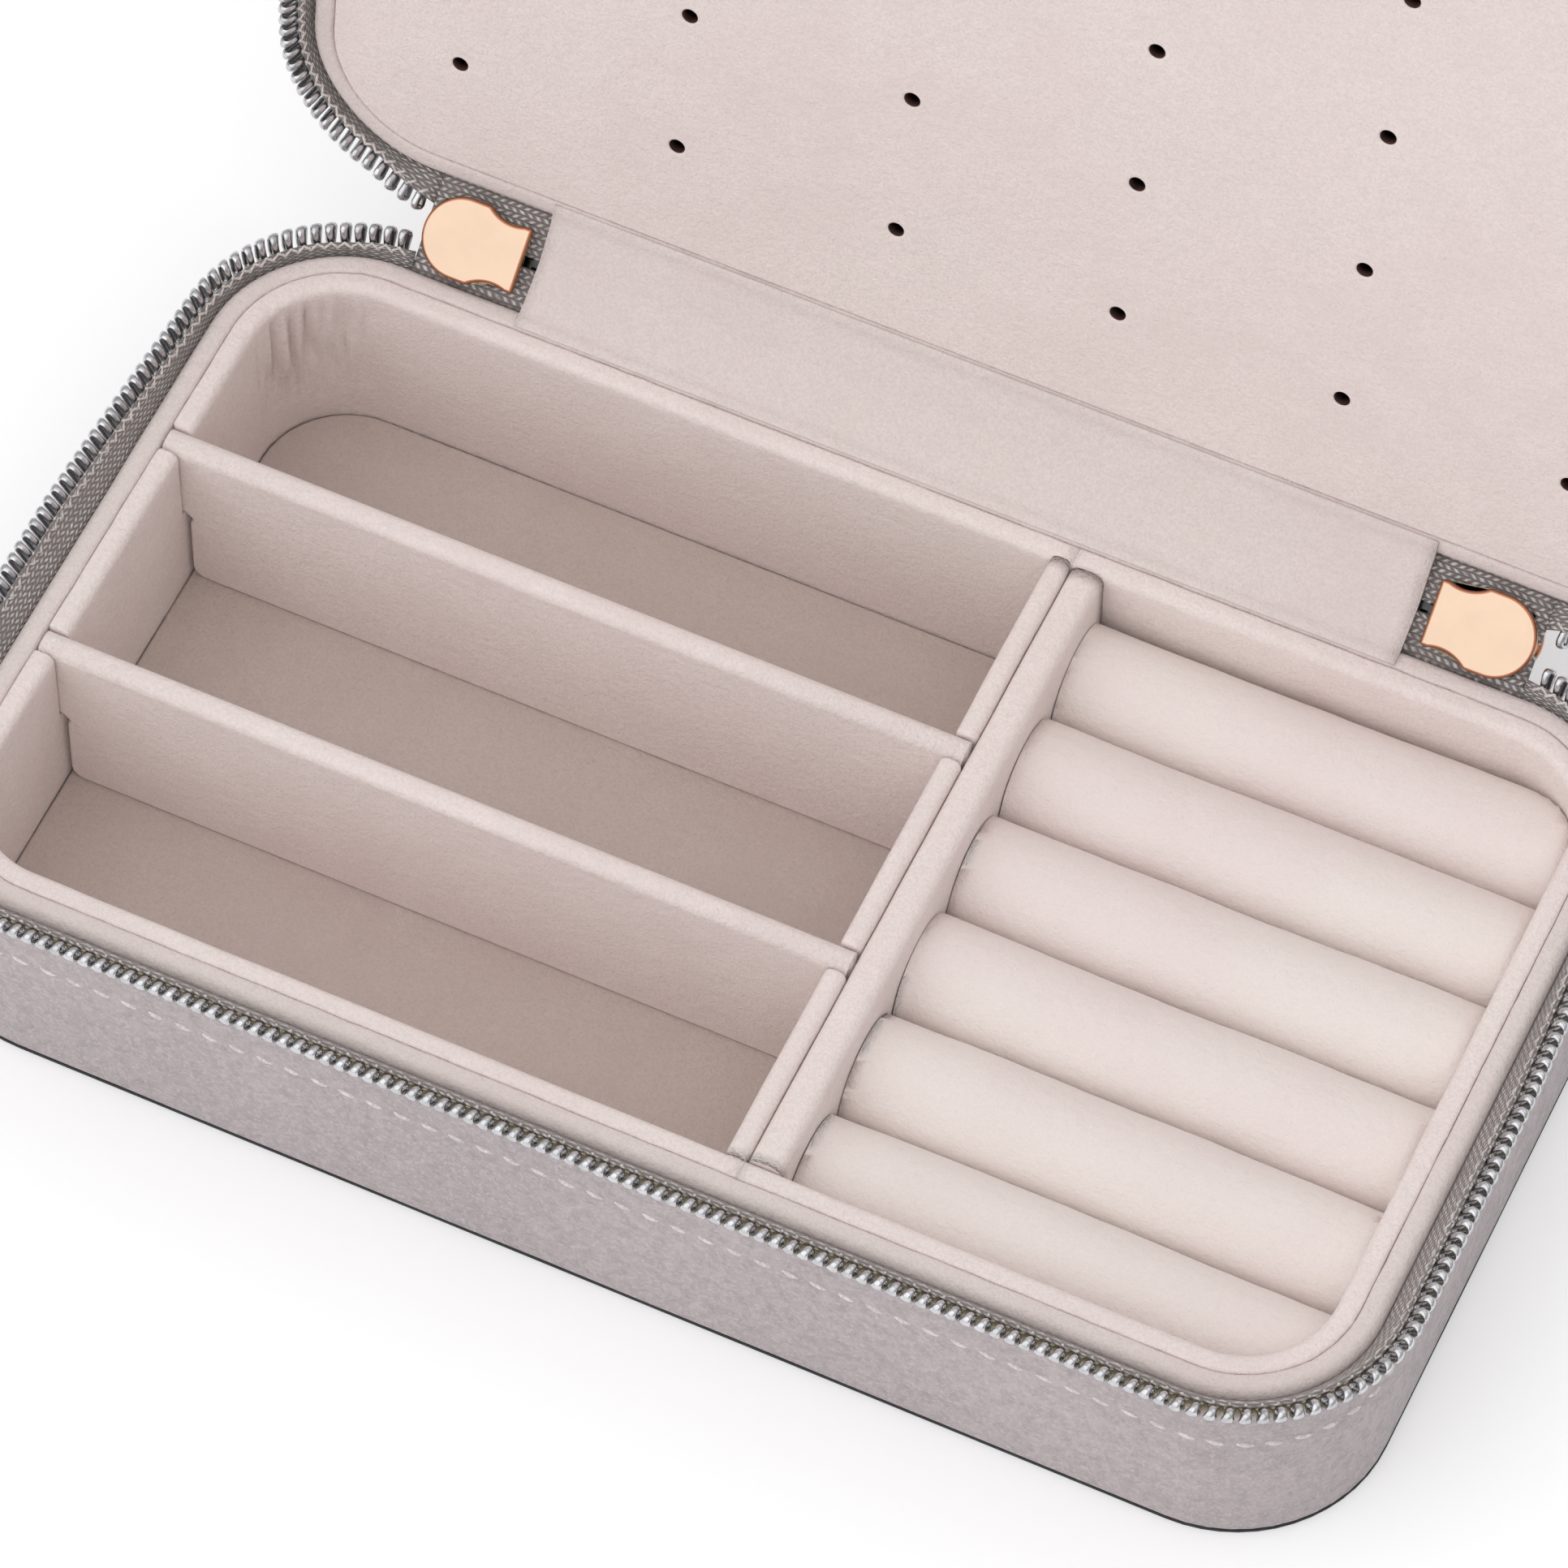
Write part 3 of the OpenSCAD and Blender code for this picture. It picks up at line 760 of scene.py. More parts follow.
SEAM_GAP, SEAM_ROUND, SEAM_REACH = 0.03, 0.42, 0.9
WALL_FOOT = 1.0
RIM_ROUND, RIM_CROWN, LINING_ROUND = 1.15, 0.16, 1.1
CREASE_DEPTH, RING_CREASE_DEPTH, OTHER_CORNERS = 1.25, 0.34, 0.2
CREASE_PITCH, RIDGE_PITCH, RIDGE_PART = 1.15, 1.4, 0.75
CREASE_TOP, CREASE_FOOT = -1.5, -20.0
NOTCH_FOLD, NOTCH_NEAR = 0.5, 6.0
DIVIDER_BACKS = (30.5, 59.6)
NOTCH_GAP = 0.15
WELD = 0.002
LINING_STEP = 1.8


def rim(c, name, low, place, body, node):
    """Padded rim between the lining's seam and the zipper."""
    bm = bmesh.new()
    edges = profile(bm, (
        (SEAM_GAP, low, 0.0), (SEAM_GAP, 0.0, SEAM_ROUND),
        (c.rim_width, 0.0, RIM_ROUND), (c.rim_width, low, 0.0),
    ), right_seam(c), cell=2.0, segments=5)
    sweep(bm, edges, ring_legs(c, 1.6, 18), closed=True)

    def rule(run, out, height, co):
        top = near_top(height)
        near_seam = max(0.0, 1.0 - out / SEAM_REACH) * top
        crown = RIM_CROWN * top * math.sin(math.pi * clamp(out / c.rim_width))
        wave = waver(Vector((co.x, co.y, 0)), 0.10, 0.11) * top
        return near_seam * seam_wander(co) + wave * (1 - near_seam), crown + 0.4 * wave

    around(c, bm, rule)
    finished(bm, name, "velvet", body, [node], place)


def wrinkles(c, co, height, depth):
    """Creases pressed into the lining where it is gathered round a corner."""
    _, _, arm = on_seam(c, co)
    turned = math.atan2(abs(arm.y), abs(arm.x)) / QUARTER_TURN
    if not 0.001 < turned < 0.999:
        return 0.0
    gather = min(1.0, turned * 4.0, (1.0 - turned) * 1.6)
    arc = math.atan2(arm.y, arm.x) * (c.seam_radius - c.lining)
    fold = noise.noise(Vector((arc / CREASE_PITCH, height * 0.05, 4.0)))
    ridge = abs(noise.noise(Vector((arc / RIDGE_PITCH, height * 0.07, 9.0))))
    crease = fold + RIDGE_PART * max(0.0, 1.0 - ridge * 3.5)
    fade = clamp((CREASE_TOP - height) / 3.0) * clamp((height - CREASE_FOOT) / 8.0)
    return depth * crease * gather * fade


def lining_rule(c, folded):
    """Movement of a lining wall: wandering seam, soft top, creased corners."""
    def rule(run, out, height, co):
        top = near_top(height)
        near_seam = max(0.0, 1.0 + out / SEAM_REACH) * top
        inner = 1.0 if out < -c.lining + 0.6 else 0.0
        depth = folded if co.x < 0 < co.y else folded * OTHER_CORNERS
        creases = wrinkles(c, co, height, depth) * inner
        wave = waver(co, 0.10, 0.10) * (1 - near_seam)
        return near_seam * seam_wander(co) + creases + wave, waver(co, 0.05 * top, 0.3)
    return rule


def notch(bm, x0, x1, y0, y1, z0):
    """Cuts a slot through a wall from its top and folds the lining round its edges."""
    def near(co, margin):
        return x0 < co.x < x1 and y0 - margin < co.y < y1 + margin

    def level(edge, axis, place):
        return all(abs(v.co[axis] - place) < WELD for v in edge.verts)

    for place, normal in (
        ((0, y0, 0), (0, 1, 0)), ((0, y1, 0), (0, 1, 0)), ((0, 0, z0), (0, 0, 1)),
    ):
        faces = [f for f in bm.faces if near(f.calc_center_median(), NOTCH_NEAR)]
        geom = {*faces}.union(*(f.edges for f in faces), *(f.verts for f in faces))
        bmesh.ops.bisect_plane(
            bm, geom=list(geom), dist=0.0005, plane_co=place, plane_no=normal)
    gone = [f for f in bm.faces
            if near(f.calc_center_median(), 0.0) and f.calc_center_median().z > z0]
    bmesh.ops.delete(bm, geom=gone, context="FACES")
    rim_edges = [e for e in bm.edges if e.is_boundary and near(e.verts[0].co, LEVEL)]
    cross = {}
    for y in (y0, y1):
        pair = {v for e in rim_edges for v in e.verts
                if abs(v.co.y - y) < WELD and abs(v.co.z - z0) < WELD}
        cross[y] = bm.edges.new(tuple(pair)) if len(pair) == 2 else None
    sides = []
    for y in (y0, y1):
        loop = [e for e in rim_edges if level(e, 1, y)]
        sides += bmesh.ops.contextual_create(bm, geom=loop + [cross[y]])["faces"]
    loop = [e for e in rim_edges if level(e, 2, z0)]
    bmesh.ops.contextual_create(bm, geom=loop + list(cross.values()))
    bevel(bm, {e for f in sides for e in f.edges if e not in cross.values()}, NOTCH_FOLD)


def divider_places(c):
    """Front and back face of each divider."""
    return [(at - c.half_d - c.divider, at - c.half_d) for at in DIVIDER_BACKS]


def cut_notches(c, bm, x0, x1):
    for y0, y1 in divider_places(c):
        notch(bm, x0, x1, y0 - NOTCH_GAP, y1 + NOTCH_GAP, -c.ear_depth - NOTCH_GAP)


def upright(c, name, x0, thick, y_half, radius, node, notched):
    """Straight lining wall along Y with a soft rounded top."""
    bm = bmesh.new()
    low = WALL_FOOT - c.base_height
    edges = profile(bm, (
        (x0, low, 0.0), (x0, 0.0, radius), (x0 + thick, 0.0, radius), (x0 + thick, low, 0.0),
    ), Matrix.Translation((0, -y_half, 0)), cell=3.0)
    sweep(bm, edges, (line(0, 2 * y_half, 2.0),))
    if notched:
        cut_notches(c, bm, x0 - 1, x0 + thick + 1)
    for vert in bm.verts:
        top = near_top(vert.co.z)
        vert.co.x += waver(vert.co, 0.07, 0.12)
        vert.co.z += waver(vert.co, 0.06 * top, 0.25)
    # The wall takes the brighter copy of the velvet: painted light.
    finished(bm, name, "velvet", "base", [node], base_place(c), even=True, finish="velvet_wall")


class CASE_OT_linings(bpy.types.Operator):
    """Builds the velvet rims and the lining walls of both sections"""

    bl_idname = "case.linings"
    bl_label = "Velvet lining"

    def execute(self, context):
        c = sizes()
        low = WALL_FOOT - c.base_height
        rim(c, "base_rim", low, base_place(c), "base", "base_collar")
        rim(c, "lid_rim", WALL_FOOT - c.lid_height, lid_place(c), "lid", "lid_collar")
        corners = (
            (-c.lining, low, 0.0), (-c.lining, 0.0, LINING_ROUND),
            (-SEAM_GAP, 0.0, SEAM_ROUND), (-SEAM_GAP, low, 0.0),
        )

        def lining(name, node, start, cell, legs, folded, notched):
            bm = bmesh.new()
            sweep(bm, profile(bm, corners, start, cell=cell, segments=5), legs)
            if notched:
                cut_notches(c, bm, -c.half_l - 1, -c.half_l + c.lining + 1)
            around(c, bm, lining_rule(c, folded))
            # The lining takes the brighter copy of the velvet: painted light.
            finished(bm, name, "velvet", "base", [node], base_place(c), finish="velvet_wall")

        ring_x = c.section_x + 0.05
        lining("tray_lining", "tray_liner",
               Matrix.Translation((c.section_x, c.half_d, 0)) @ QUARTER, 1.2, (
                   line(-c.mid_x - c.section_x, 0, LINING_STEP), turn(-c.mid_x, c.mid_y, 56),
                   line(0, -2 * c.mid_y, LINING_STEP), turn(-c.mid_x, -c.mid_y, 24),
                   line(c.mid_x + c.section_x, 0, LINING_STEP),
               ), CREASE_DEPTH, True)
        lining("ring_lining", "ring_liner",
               Matrix.Translation((ring_x, -c.half_d, 0)) @ QUARTER.inverted(), 1.6, (
                   line(c.mid_x - ring_x, 0, LINING_STEP), turn(c.mid_x, -c.mid_y, 24),
                   line(0, 2 * c.mid_y, LINING_STEP), turn(c.mid_x, c.mid_y, 24),
                   line(-c.mid_x + ring_x, 0, LINING_STEP),
               ), RING_CREASE_DEPTH, False)
        upright(c, "section_wall", c.section_x - c.lining, c.lining - 0.03,
                c.half_d - c.lining + 0.35, 0.95, "tray_liner", True)
        upright(c, "ring_side_wall", ring_x, c.ring_wall - 0.05,
                c.half_d - c.lining - 0.08, 1.25, "ring_wall", False)
        return {"FINISHED"}


# ---------- floors and dividers ----------

FLOOR_GAP, FLOOR_THICK, FLOOR_ROUND, FLOOR_CORNER = 0.12, 1.3, 0.45, 0.8
EAR_GRIP, EAR_LEAD, EAR_STEP = 0.35, 0.85, 0.8
BODY_GAP, END_GAP = 0.45, 0.3
TOP_ROUND, SIDE_ROUND, HEEL_ROUND = 1.15, 0.4, 1.6


def floor(c, name, x0, x1, radius_left, radius_right, node):
    """Velvet-covered card, rolled over at its edges."""
    bm = bmesh.new()
    y = c.half_d - c.lining - FLOOR_GAP
    top = c.floor_top - c.base_height
    corners = ((x0, -y, radius_left), (x1, -y, radius_right),
               (x1, y, radius_right), (x0, y, radius_left))
    verts = [bm.verts.new((x, at, top)) for x, at, _ in corners]
    bm.faces.new(verts)
    for vert, (_, _, radius) in zip(verts, corners):
        round_corners(bm, [vert], radius, 10)
    thicken(bm, (0, 0, -FLOOR_THICK))
    bevel(bm, edges_level(bm, 2, top), FLOOR_ROUND, 4)
    finished(bm, name, "velvet_floor", "base", [node], base_place(c), even=True)


def divider(c, name, y0, y1):
    """Padded board with ears in the lining's notches and a rounded foot."""
    bm = bmesh.new()
    end, body = c.half_l - END_GAP, c.half_l - c.lining - BODY_GAP
    low = c.floor_top - c.base_height + 0.1
    ear = -c.ear_depth
    step = ear - EAR_LEAD
    left = (
        (-end, 0.0), (-end, ear), (-body - EAR_GRIP, ear), (-body - EAR_GRIP + EAR_LEAD, step),
        (-body + 0.1, step - EAR_STEP), (-body, low),
    )
    shift = c.section_x - c.half_l
    outline = (*left, *((shift - x, z) for x, z in left[::-1]))
    verts = [bm.verts.new((x, y1, z)) for x, z in outline]
    bm.faces.new(verts)
    for vert in verts[5:7]:
        round_corners(bm, [vert], HEEL_ROUND, 5)
    thicken(bm, (0, y0 - y1, 0))
    rims = [e for e in bm.edges
            if len(e.link_faces) == 2 and abs(e.verts[0].co.y - e.verts[1].co.y) < LEVEL]
    bevel(bm, [e for e in rims if all(v.co.z > -LEVEL for v in e.verts)], TOP_ROUND, 5)
    rims = [e for e in rims if e.is_valid and all(v.co.z < -1.0 for v in e.verts)]
    bevel(bm, rims, SIDE_ROUND)
    # The divider takes the brighter copy of the velvet: painted light.
    finished(bm, name, "velvet", name, [name], base_place(c), even=True, finish="velvet_wall")


class CASE_OT_floors(bpy.types.Operator):
    """Builds the two floors and the lift-out dividers"""

    bl_idname = "case.floors"
    bl_label = "Floors and dividers"

    def execute(self, context):
        c = sizes()
        inner = c.seam_radius - c.lining - 0.1
        floor(c, "tray_floor_pad", -c.half_l + c.lining + FLOOR_GAP,
              c.section_x - c.lining - FLOOR_GAP, inner, FLOOR_CORNER, "tray_floor")
        floor(c, "ring_floor_pad", c.section_x + c.ring_wall + 0.2,
              c.half_l - c.lining - 0.3, FLOOR_CORNER, inner, "ring_floor")
        for name, (y0, y1) in zip(("divider_front", "divider_back"), divider_places(c)):
            divider(c, name, y0, y1)
        return {"FINISHED"}


# ---------- ring rolls ----------

ROLL_COUNT = 6
ROLL_GAP, BAY_GAP = 0.12, 0.15
ROLL_DOME, ROLL_FOOT = 2.3, 0.6
ROLL_RISE = 0.25


def ring_roll(c, number):
    """Foam bar in velvet: round top, domed ends, kept inside the rounded bay."""
    room = c.tray_depth - 2 * (c.lining + 0.1)
    radius = room / ROLL_COUNT / 2 - 0.03
    y = room / 2 - (number - 0.5) * room / ROLL_COUNT
    x0, x1 = c.section_x + c.ring_wall + ROLL_GAP, c.half_l - c.lining - ROLL_GAP
    top, low = -c.roll_drop, c.floor_top - c.base_height + 0.05
    bm = bmesh.new()
    edges = profile(bm, (
        (y - radius, low, ROLL_FOOT), (y - radius, top, radius * 0.98),
        (y + radius, top, radius * 0.98), (y + radius, low, ROLL_FOOT),
    ), Matrix.Translation((x0, 0, 0)) @ QUARTER, cell=2.5, segments=12)
    sweep(bm, edges, (line(x1 - x0, 0, 1.6),))
    ends = [e for e in edges_level(bm, 0, x0, x1) if all(v.co.z > low + 1.0 for v in e.verts)]
    bevel(bm, ends, ROLL_DOME, 6)
    soften(bm, c.roll_swell, 0.06, 5.0 * number)
    soften(bm, c.roll_swell * 0.25, 0.25, 3.0 * number)
    limit = c.seam_radius - c.lining - BAY_GAP
    for vert in bm.verts:
        vert.co.y = clamp(vert.co.y, y - radius, y + radius)
        vert.co.x = clamp(vert.co.x, x0, x1)
        vert.co.z = clamp(vert.co.z, low, top + ROLL_RISE)
        _, centre, arm = on_seam(c, vert.co)
        if arm.length > limit and vert.co.x > 0:
            vert.co.xy = centre + arm * (limit / arm.length)
    name = f"ring_roll_{number}"
    roll = finished(bm, name + "_pad", "velvet_rolls", "base", [name], base_place(c))


class CASE_OT_rolls(bpy.types.Operator):
    """Builds the six foam rolls of the ring section"""

    bl_idname = "case.rolls"
    bl_label = "Ring rolls"

    def execute(self, context):
        c = sizes()
        for number in range(1, ROLL_COUNT + 1):
            ring_roll(c, number)
        return {"FINISHED"}


# ---------- earring panel ----------

PANEL_INSET, PANEL_THICK = 0.06, 2.35
HOLE_RADIUS, MOUTH_ROUND = 0.9, 0.32
HOLE_PITCH = (25.9, 19.2)
HOLES = [((i - 2.5) * HOLE_PITCH[0], (j - 1.5) * HOLE_PITCH[1])
         for i in range(6) for j in range(4)]


class CASE_OT_panel(bpy.types.Operator):
    """Builds the lid's velvet panel with its soft-edged holes"""

    bl_idname = "case.panel"
    bl_label = "Earring panel"

    def execute(self, context):
        c = sizes()
        bm = bmesh.new()
        verts = plate(bm, c.half_l - PANEL_INSET, c.half_d - PANEL_INSET, 0)
        round_corners(bm, verts, c.seam_radius - PANEL_INSET, PLATE_STEPS)
        bmesh.ops.delete(bm, geom=bm.faces[:], context="FACES_ONLY")
        for x, y in HOLES:
            bmesh.ops.create_circle(bm, cap_ends=False, segments=20, radius=HOLE_RADIUS,
                                    matrix=Matrix.Translation((x, y, 0)))
        bmesh.ops.triangle_fill(bm, use_beauty=True, use_dissolve=False, edges=bm.edges[:])
        thicken(bm, (0, 0, -PANEL_THICK))
        mouth = [e for e in edges_level(bm, 2, 0.0)
                 if any(abs(f.normal.z) < 0.5 for f in e.link_faces)]
        bevel(bm, mouth, MOUTH_ROUND)
        # The hole walls take the dark finish: painted shade in the holes.
        for face in bm.faces:
            at = face.calc_center_median()
            near = min(math.hypot(at.x - x, at.y - y) for x, y in HOLES)
            if near < HOLE_RADIUS + 0.1 and LEVEL - PANEL_THICK < at.z < -0.2:
                face.material_index = 1
        # The panel takes the brighter copy of the velvet: painted light.
        panel = finished(bm, "earring_pad", "velvet", "lid", ["earring_panel"], lid_place(c),
                         even=True, finish="velvet_wall")
        panel.data.materials.append(bpy.data.materials["hole_dark"])
        return {"FINISHED"}


# ---------- hinge ----------

# Place and corner radius of the flap's points over one rim.
FLAP_OVER_RIM = ((0.06, 0.42, 0.15), (0.9, 0.72, 0.3), (1.9, 0.62, 0.7))
FLAP_THICK, FLAP_DIP = 0.55, -1.95
SPINE_THICK, SPINE_DIP = 0.8, -5.6
SPINE_LOW, SPINE_HIGH = -7.0, -1.3


def band(path, thickness):
    """Outline of a band along a path, each point with its own corner radius."""
    points = [Vector(p[:2]) for p in path]
    last = len(points) - 1
    across = []
    for i in range(last + 1):
        way = (points[min(i + 1, last)] - points[max(i - 1, 0)]).normalized()
        across.append(Vector((-way.y, way.x)) * thickness)
    sides = [(*p, path[i][2]) for i, p in enumerate(points)]
    back = [(*(p + a), path[i][2]) for i, (p, a) in enumerate(zip(points, across))]
    return sides + back[::-1]


def strip(c, outline, x0, x1, step, cell, segments=5):
    """Sweeps a hinge outline along the back between two places."""
    bm = bmesh.new()
    edges = profile(bm, outline, back_place(c, x0), cell=cell, segments=segments)
    return sweep(bm, edges, (line(x1 - x0, 0, step),))


class CASE_OT_hinge(bpy.types.Operator):
    """Builds the velvet flap and the leather spine across the open hinge"""

    bl_idname = "case.hinge"
    bl_label = "Hinge flap and spine"

    def execute(self, context):
        c = sizes()
        path = (
            *FLAP_OVER_RIM,
            (*hinge_point(c, -0.6, FLAP_DIP), 2.2), (*hinge_point(c, 0.6, FLAP_DIP), 2.2),
            *((*lid_side(c, out, height + (0.12 if out > 1 else 0.0)), radius)
              for out, height, radius in reversed(FLAP_OVER_RIM)),
        )
        bm = strip(c, band(path, -FLAP_THICK), -FLAP_HALF, FLAP_HALF, 1.8, cell=0.5)
        for vert in bm.verts:
            flat = Vector((vert.co.x, vert.co.y, 0))
            free = clamp((vert.co.y - c.half_d - 1.0) / 2.0)
            lift = (waver(flat, 0.16, 0.05) + waver(flat, 0.06, 0.2)) * free
            vert.co.z += lift
            vert.co.y -= 0.5 * lift
        flap = finished(bm, "velvet_flap", "velvet", None, ["hinge_flap"])
        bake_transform(flap)

        low, high = (c.leather_out, SPINE_LOW), (c.leather_out, SPINE_HIGH)
        path = ((*low, 0.0), (*high, 1.2), (*hinge_point(c, 0, SPINE_DIP), 2.4),
                (*lid_side(c, *high), 1.2), (*lid_side(c, *low), 0.0))
        bm = strip(c, band(path, -SPINE_THICK), -FLAP_HALF, FLAP_HALF, 2.0, cell=1.0)
        bevel(bm, edges_level(bm, 0, -FLAP_HALF, FLAP_HALF), 0.25, 2)
        spine = finished(bm, "leather_spine", "leather_grey", None, ["hinge_spine"])
        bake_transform(spine)
        return {"FINISHED"}


# ---------- zipper ----------

ROW_START, CHAIN_END = 65.9, 46.0
TAPE_LEAN = math.radians(34)
TAPE_LENGTH = 4.4
TAPE_HALF = 0.25
TAPE_STEPS = 22
TAPE_ROOT = 6.0
HINGE_ROOT, HINGE_BEND = -9.0, -1.0
COIL_OVER = 0.75
# Distance towards the hinge, lean in degrees and length of the standing tape.
TAPE_STATIONS = (
    (0.0, 34.0, 4.4), (10.0, 30.0, 4.0), (18.0, 25.0, 3.6),
    (30.5, 15.0, 3.0), (38.0, 9.0, 2.8), (46.0, 10.0, 2.7),
)
BASE_MOUTH = (52.0, 28.0, 3.06)
LID_MOUTH = (52.0, 46.6, 4.3)
LOOP_THICK, LOOP_FOOT, LOOP_HEAD = 1.6, -1.45, 0.32
LOOP_WIDTH, LOOP_PLUMP, LOOP_SLANT = 0.44, 0.55, 0.10
SEWING_RADIUS, SCALLOP_RADIUS = 0.23, 0.17


def to_hinge(c, co):
    """How far towards the hinge a point of the seam is: 0 level with the middle of a side."""
    _, centre, arm = on_seam(c, co)
    if centre.y < c.mid_y - LEVEL or arm.y <= 0:
        return centre.y
    angle = math.atan2(arm.y, abs(arm.x))
    return c.mid_y + c.seam_radius * angle + c.mid_x - abs(centre.x)


def tape_shape(station, lid):
    """Lean and length of the standing tape, drawn up towards the slider."""
    table = (*TAPE_STATIONS, LID_MOUTH if lid else BASE_MOUTH)
    for (s0, *low), (s1, *high) in zip(table, table[1:]):
        if station < s1:
            t = max(0.0, (station - s0) / (s1 - s0))
            break
    else:
        t = 1.0
    lean, reach = (a + (b - a) * t for a, b in zip(low, high))
    return math.radians(lean), reach


def blend_tape(tape, lid):
    """Bakes a tape's place into its mesh, alike for the base's and the lid's."""
    if lid:
        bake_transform(tape)
    else:
        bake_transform(tape)


def tape_ring(c, name, place, node, lid):
    """Woven tape that leans out over the leather and turns up to the sliders."""
    bm = bmesh.new()
    lean = Vector((math.sin(TAPE_LEAN), math.cos(TAPE_LEAN)))
    outer = c.bend + Vector((TAPE_HALF, 0))
    path = (
        (outer.x, c.bend.y - TAPE_ROOT, 0.0), (*outer, 0.6),
        (*(outer + lean * TAPE_LENGTH), 0.12))
    start = Matrix.Translation((-ROW_START, c.half_d, 0)) @ QUARTER
    edges = profile(bm, band(path, 2 * TAPE_HALF), start, cell=0.7, segments=3)
    to_corner = line(ROW_START - c.mid_x, 0, 1.2)
    sweep(bm, edges, (
        to_corner, turn(-c.mid_x, c.mid_y, TAPE_STEPS),
        line(0, -2 * c.mid_y, 2.0), turn(-c.mid_x, -c.mid_y, TAPE_STEPS),
        line(2 * c.mid_x, 0, 2.0), turn(c.mid_x, -c.mid_y, TAPE_STEPS),
        line(0, 2 * c.mid_y, 2.0), turn(c.mid_x, c.mid_y, TAPE_STEPS), to_corner,
    ))
    lay(c, bm, lambda co: co.z / math.cos(TAPE_LEAN))

    def rule(run, out, height, co):
        ripple = waver(Vector((run * 0.25, 0, 2)), 0.10, 1.0) * max(0.0, height + 1.0) / 3.5
        arm = Vector((out, height)) - c.bend
        if arm.y < 0:
            return 0.0, 0.0
        lean, reach = tape_shape(to_hinge(c, co), lid)
        arm.rotate(Matrix.Rotation(TAPE_LEAN - lean, 2))
        moved = c.bend + arm * ((reach - COIL_OVER) / TAPE_LENGTH)
        return moved.x - out + ripple, moved.y - height

    around(c, bm, rule)
    return finished(bm, name, "zip_tape", None, [node], place)


def loop_places(c, lid):
    """Frame of every coil loop: x off the tape, y along it, z towards its edge."""
    places = []
    out = c.bend.x + TAPE_LENGTH * math.sin(TAPE_LEAN)
    for place in along_seam(c, c.pitch, out, math.inf):
        lean, reach = tape_shape(to_hinge(c, place.translation), lid)
        places.append(
            place @ Matrix.Translation((c.bend.x, 0, c.bend.y)) @ Matrix.Rotation(lean, 4, "Y")
            @ Matrix.Translation((TAPE_HALF, 0, reach)))
    return places


def coil_loop(c):
    """One loop of the flattened coil: a plump outer leg, a head and an inner leg."""
    bm = bmesh.new()
    inner, outer, foot, head = c.wire, LOOP_THICK - c.wire, LOOP_FOOT, LOOP_HEAD
    middle = (inner + outer) / 2
    made = bmesh.ops.create_circle(bm, cap_ends=False, segments=8, radius=1.0)
    bmesh.ops.scale(bm, vec=(c.wire, LOOP_WIDTH, 1), verts=made["verts"])
    bmesh.ops.translate(bm, vec=(outer, 0, foot), verts=made["verts"])
    edges = bm.edges[:]
    for cent, angle, rise, steps in (
        ((0, 0, 0), 0.0, head - foot, 1), ((middle, 0, head), -math.pi, 0.0, 4),
        ((0, 0, 0), 0.0, foot - head, 1), ((middle, 0, foot), -math.pi, 0.0, 3),
    ):
        step = bmesh.ops.spin(
            bm, geom=edges, cent=cent, axis=(0, 1, 0), dvec=(0, 0, rise / steps),
            angle=angle, steps=steps, use_merge=False, use_duplicate=False)
        edges = edges_of(step["geom_last"])
    bmesh.ops.remove_doubles(bm, verts=bm.verts, dist=0.01)
    for vert in bm.verts:
        out = (vert.co.x - middle) / (outer - middle + c.wire)
        vert.co.y *= 1.0 + LOOP_PLUMP * max(0.0, out + 0.4)
        if vert.co.z < foot:
            vert.co.y *= 0.9
        vert.co.y -= LOOP_SLANT * out * (vert.co.z - foot)
    return template(bm, "loop")


def rods(ends, radius):
    """Short round rods between pairs of points, as one small mesh."""
    bm = bmesh.new()
    for start, end in ends:
        start, end = Vector(start), Vector(end)
        way = end - start
        turned = way.to_track_quat("Z", "Y").to_matrix().to_4x4()
        bmesh.ops.create_cone(
            bm, cap_ends=True, segments=5, radius1=radius, radius2=radius,
            depth=way.length + radius, matrix=Matrix.Translation((start + end) / 2) @ turned)
    return template(bm, "rods")


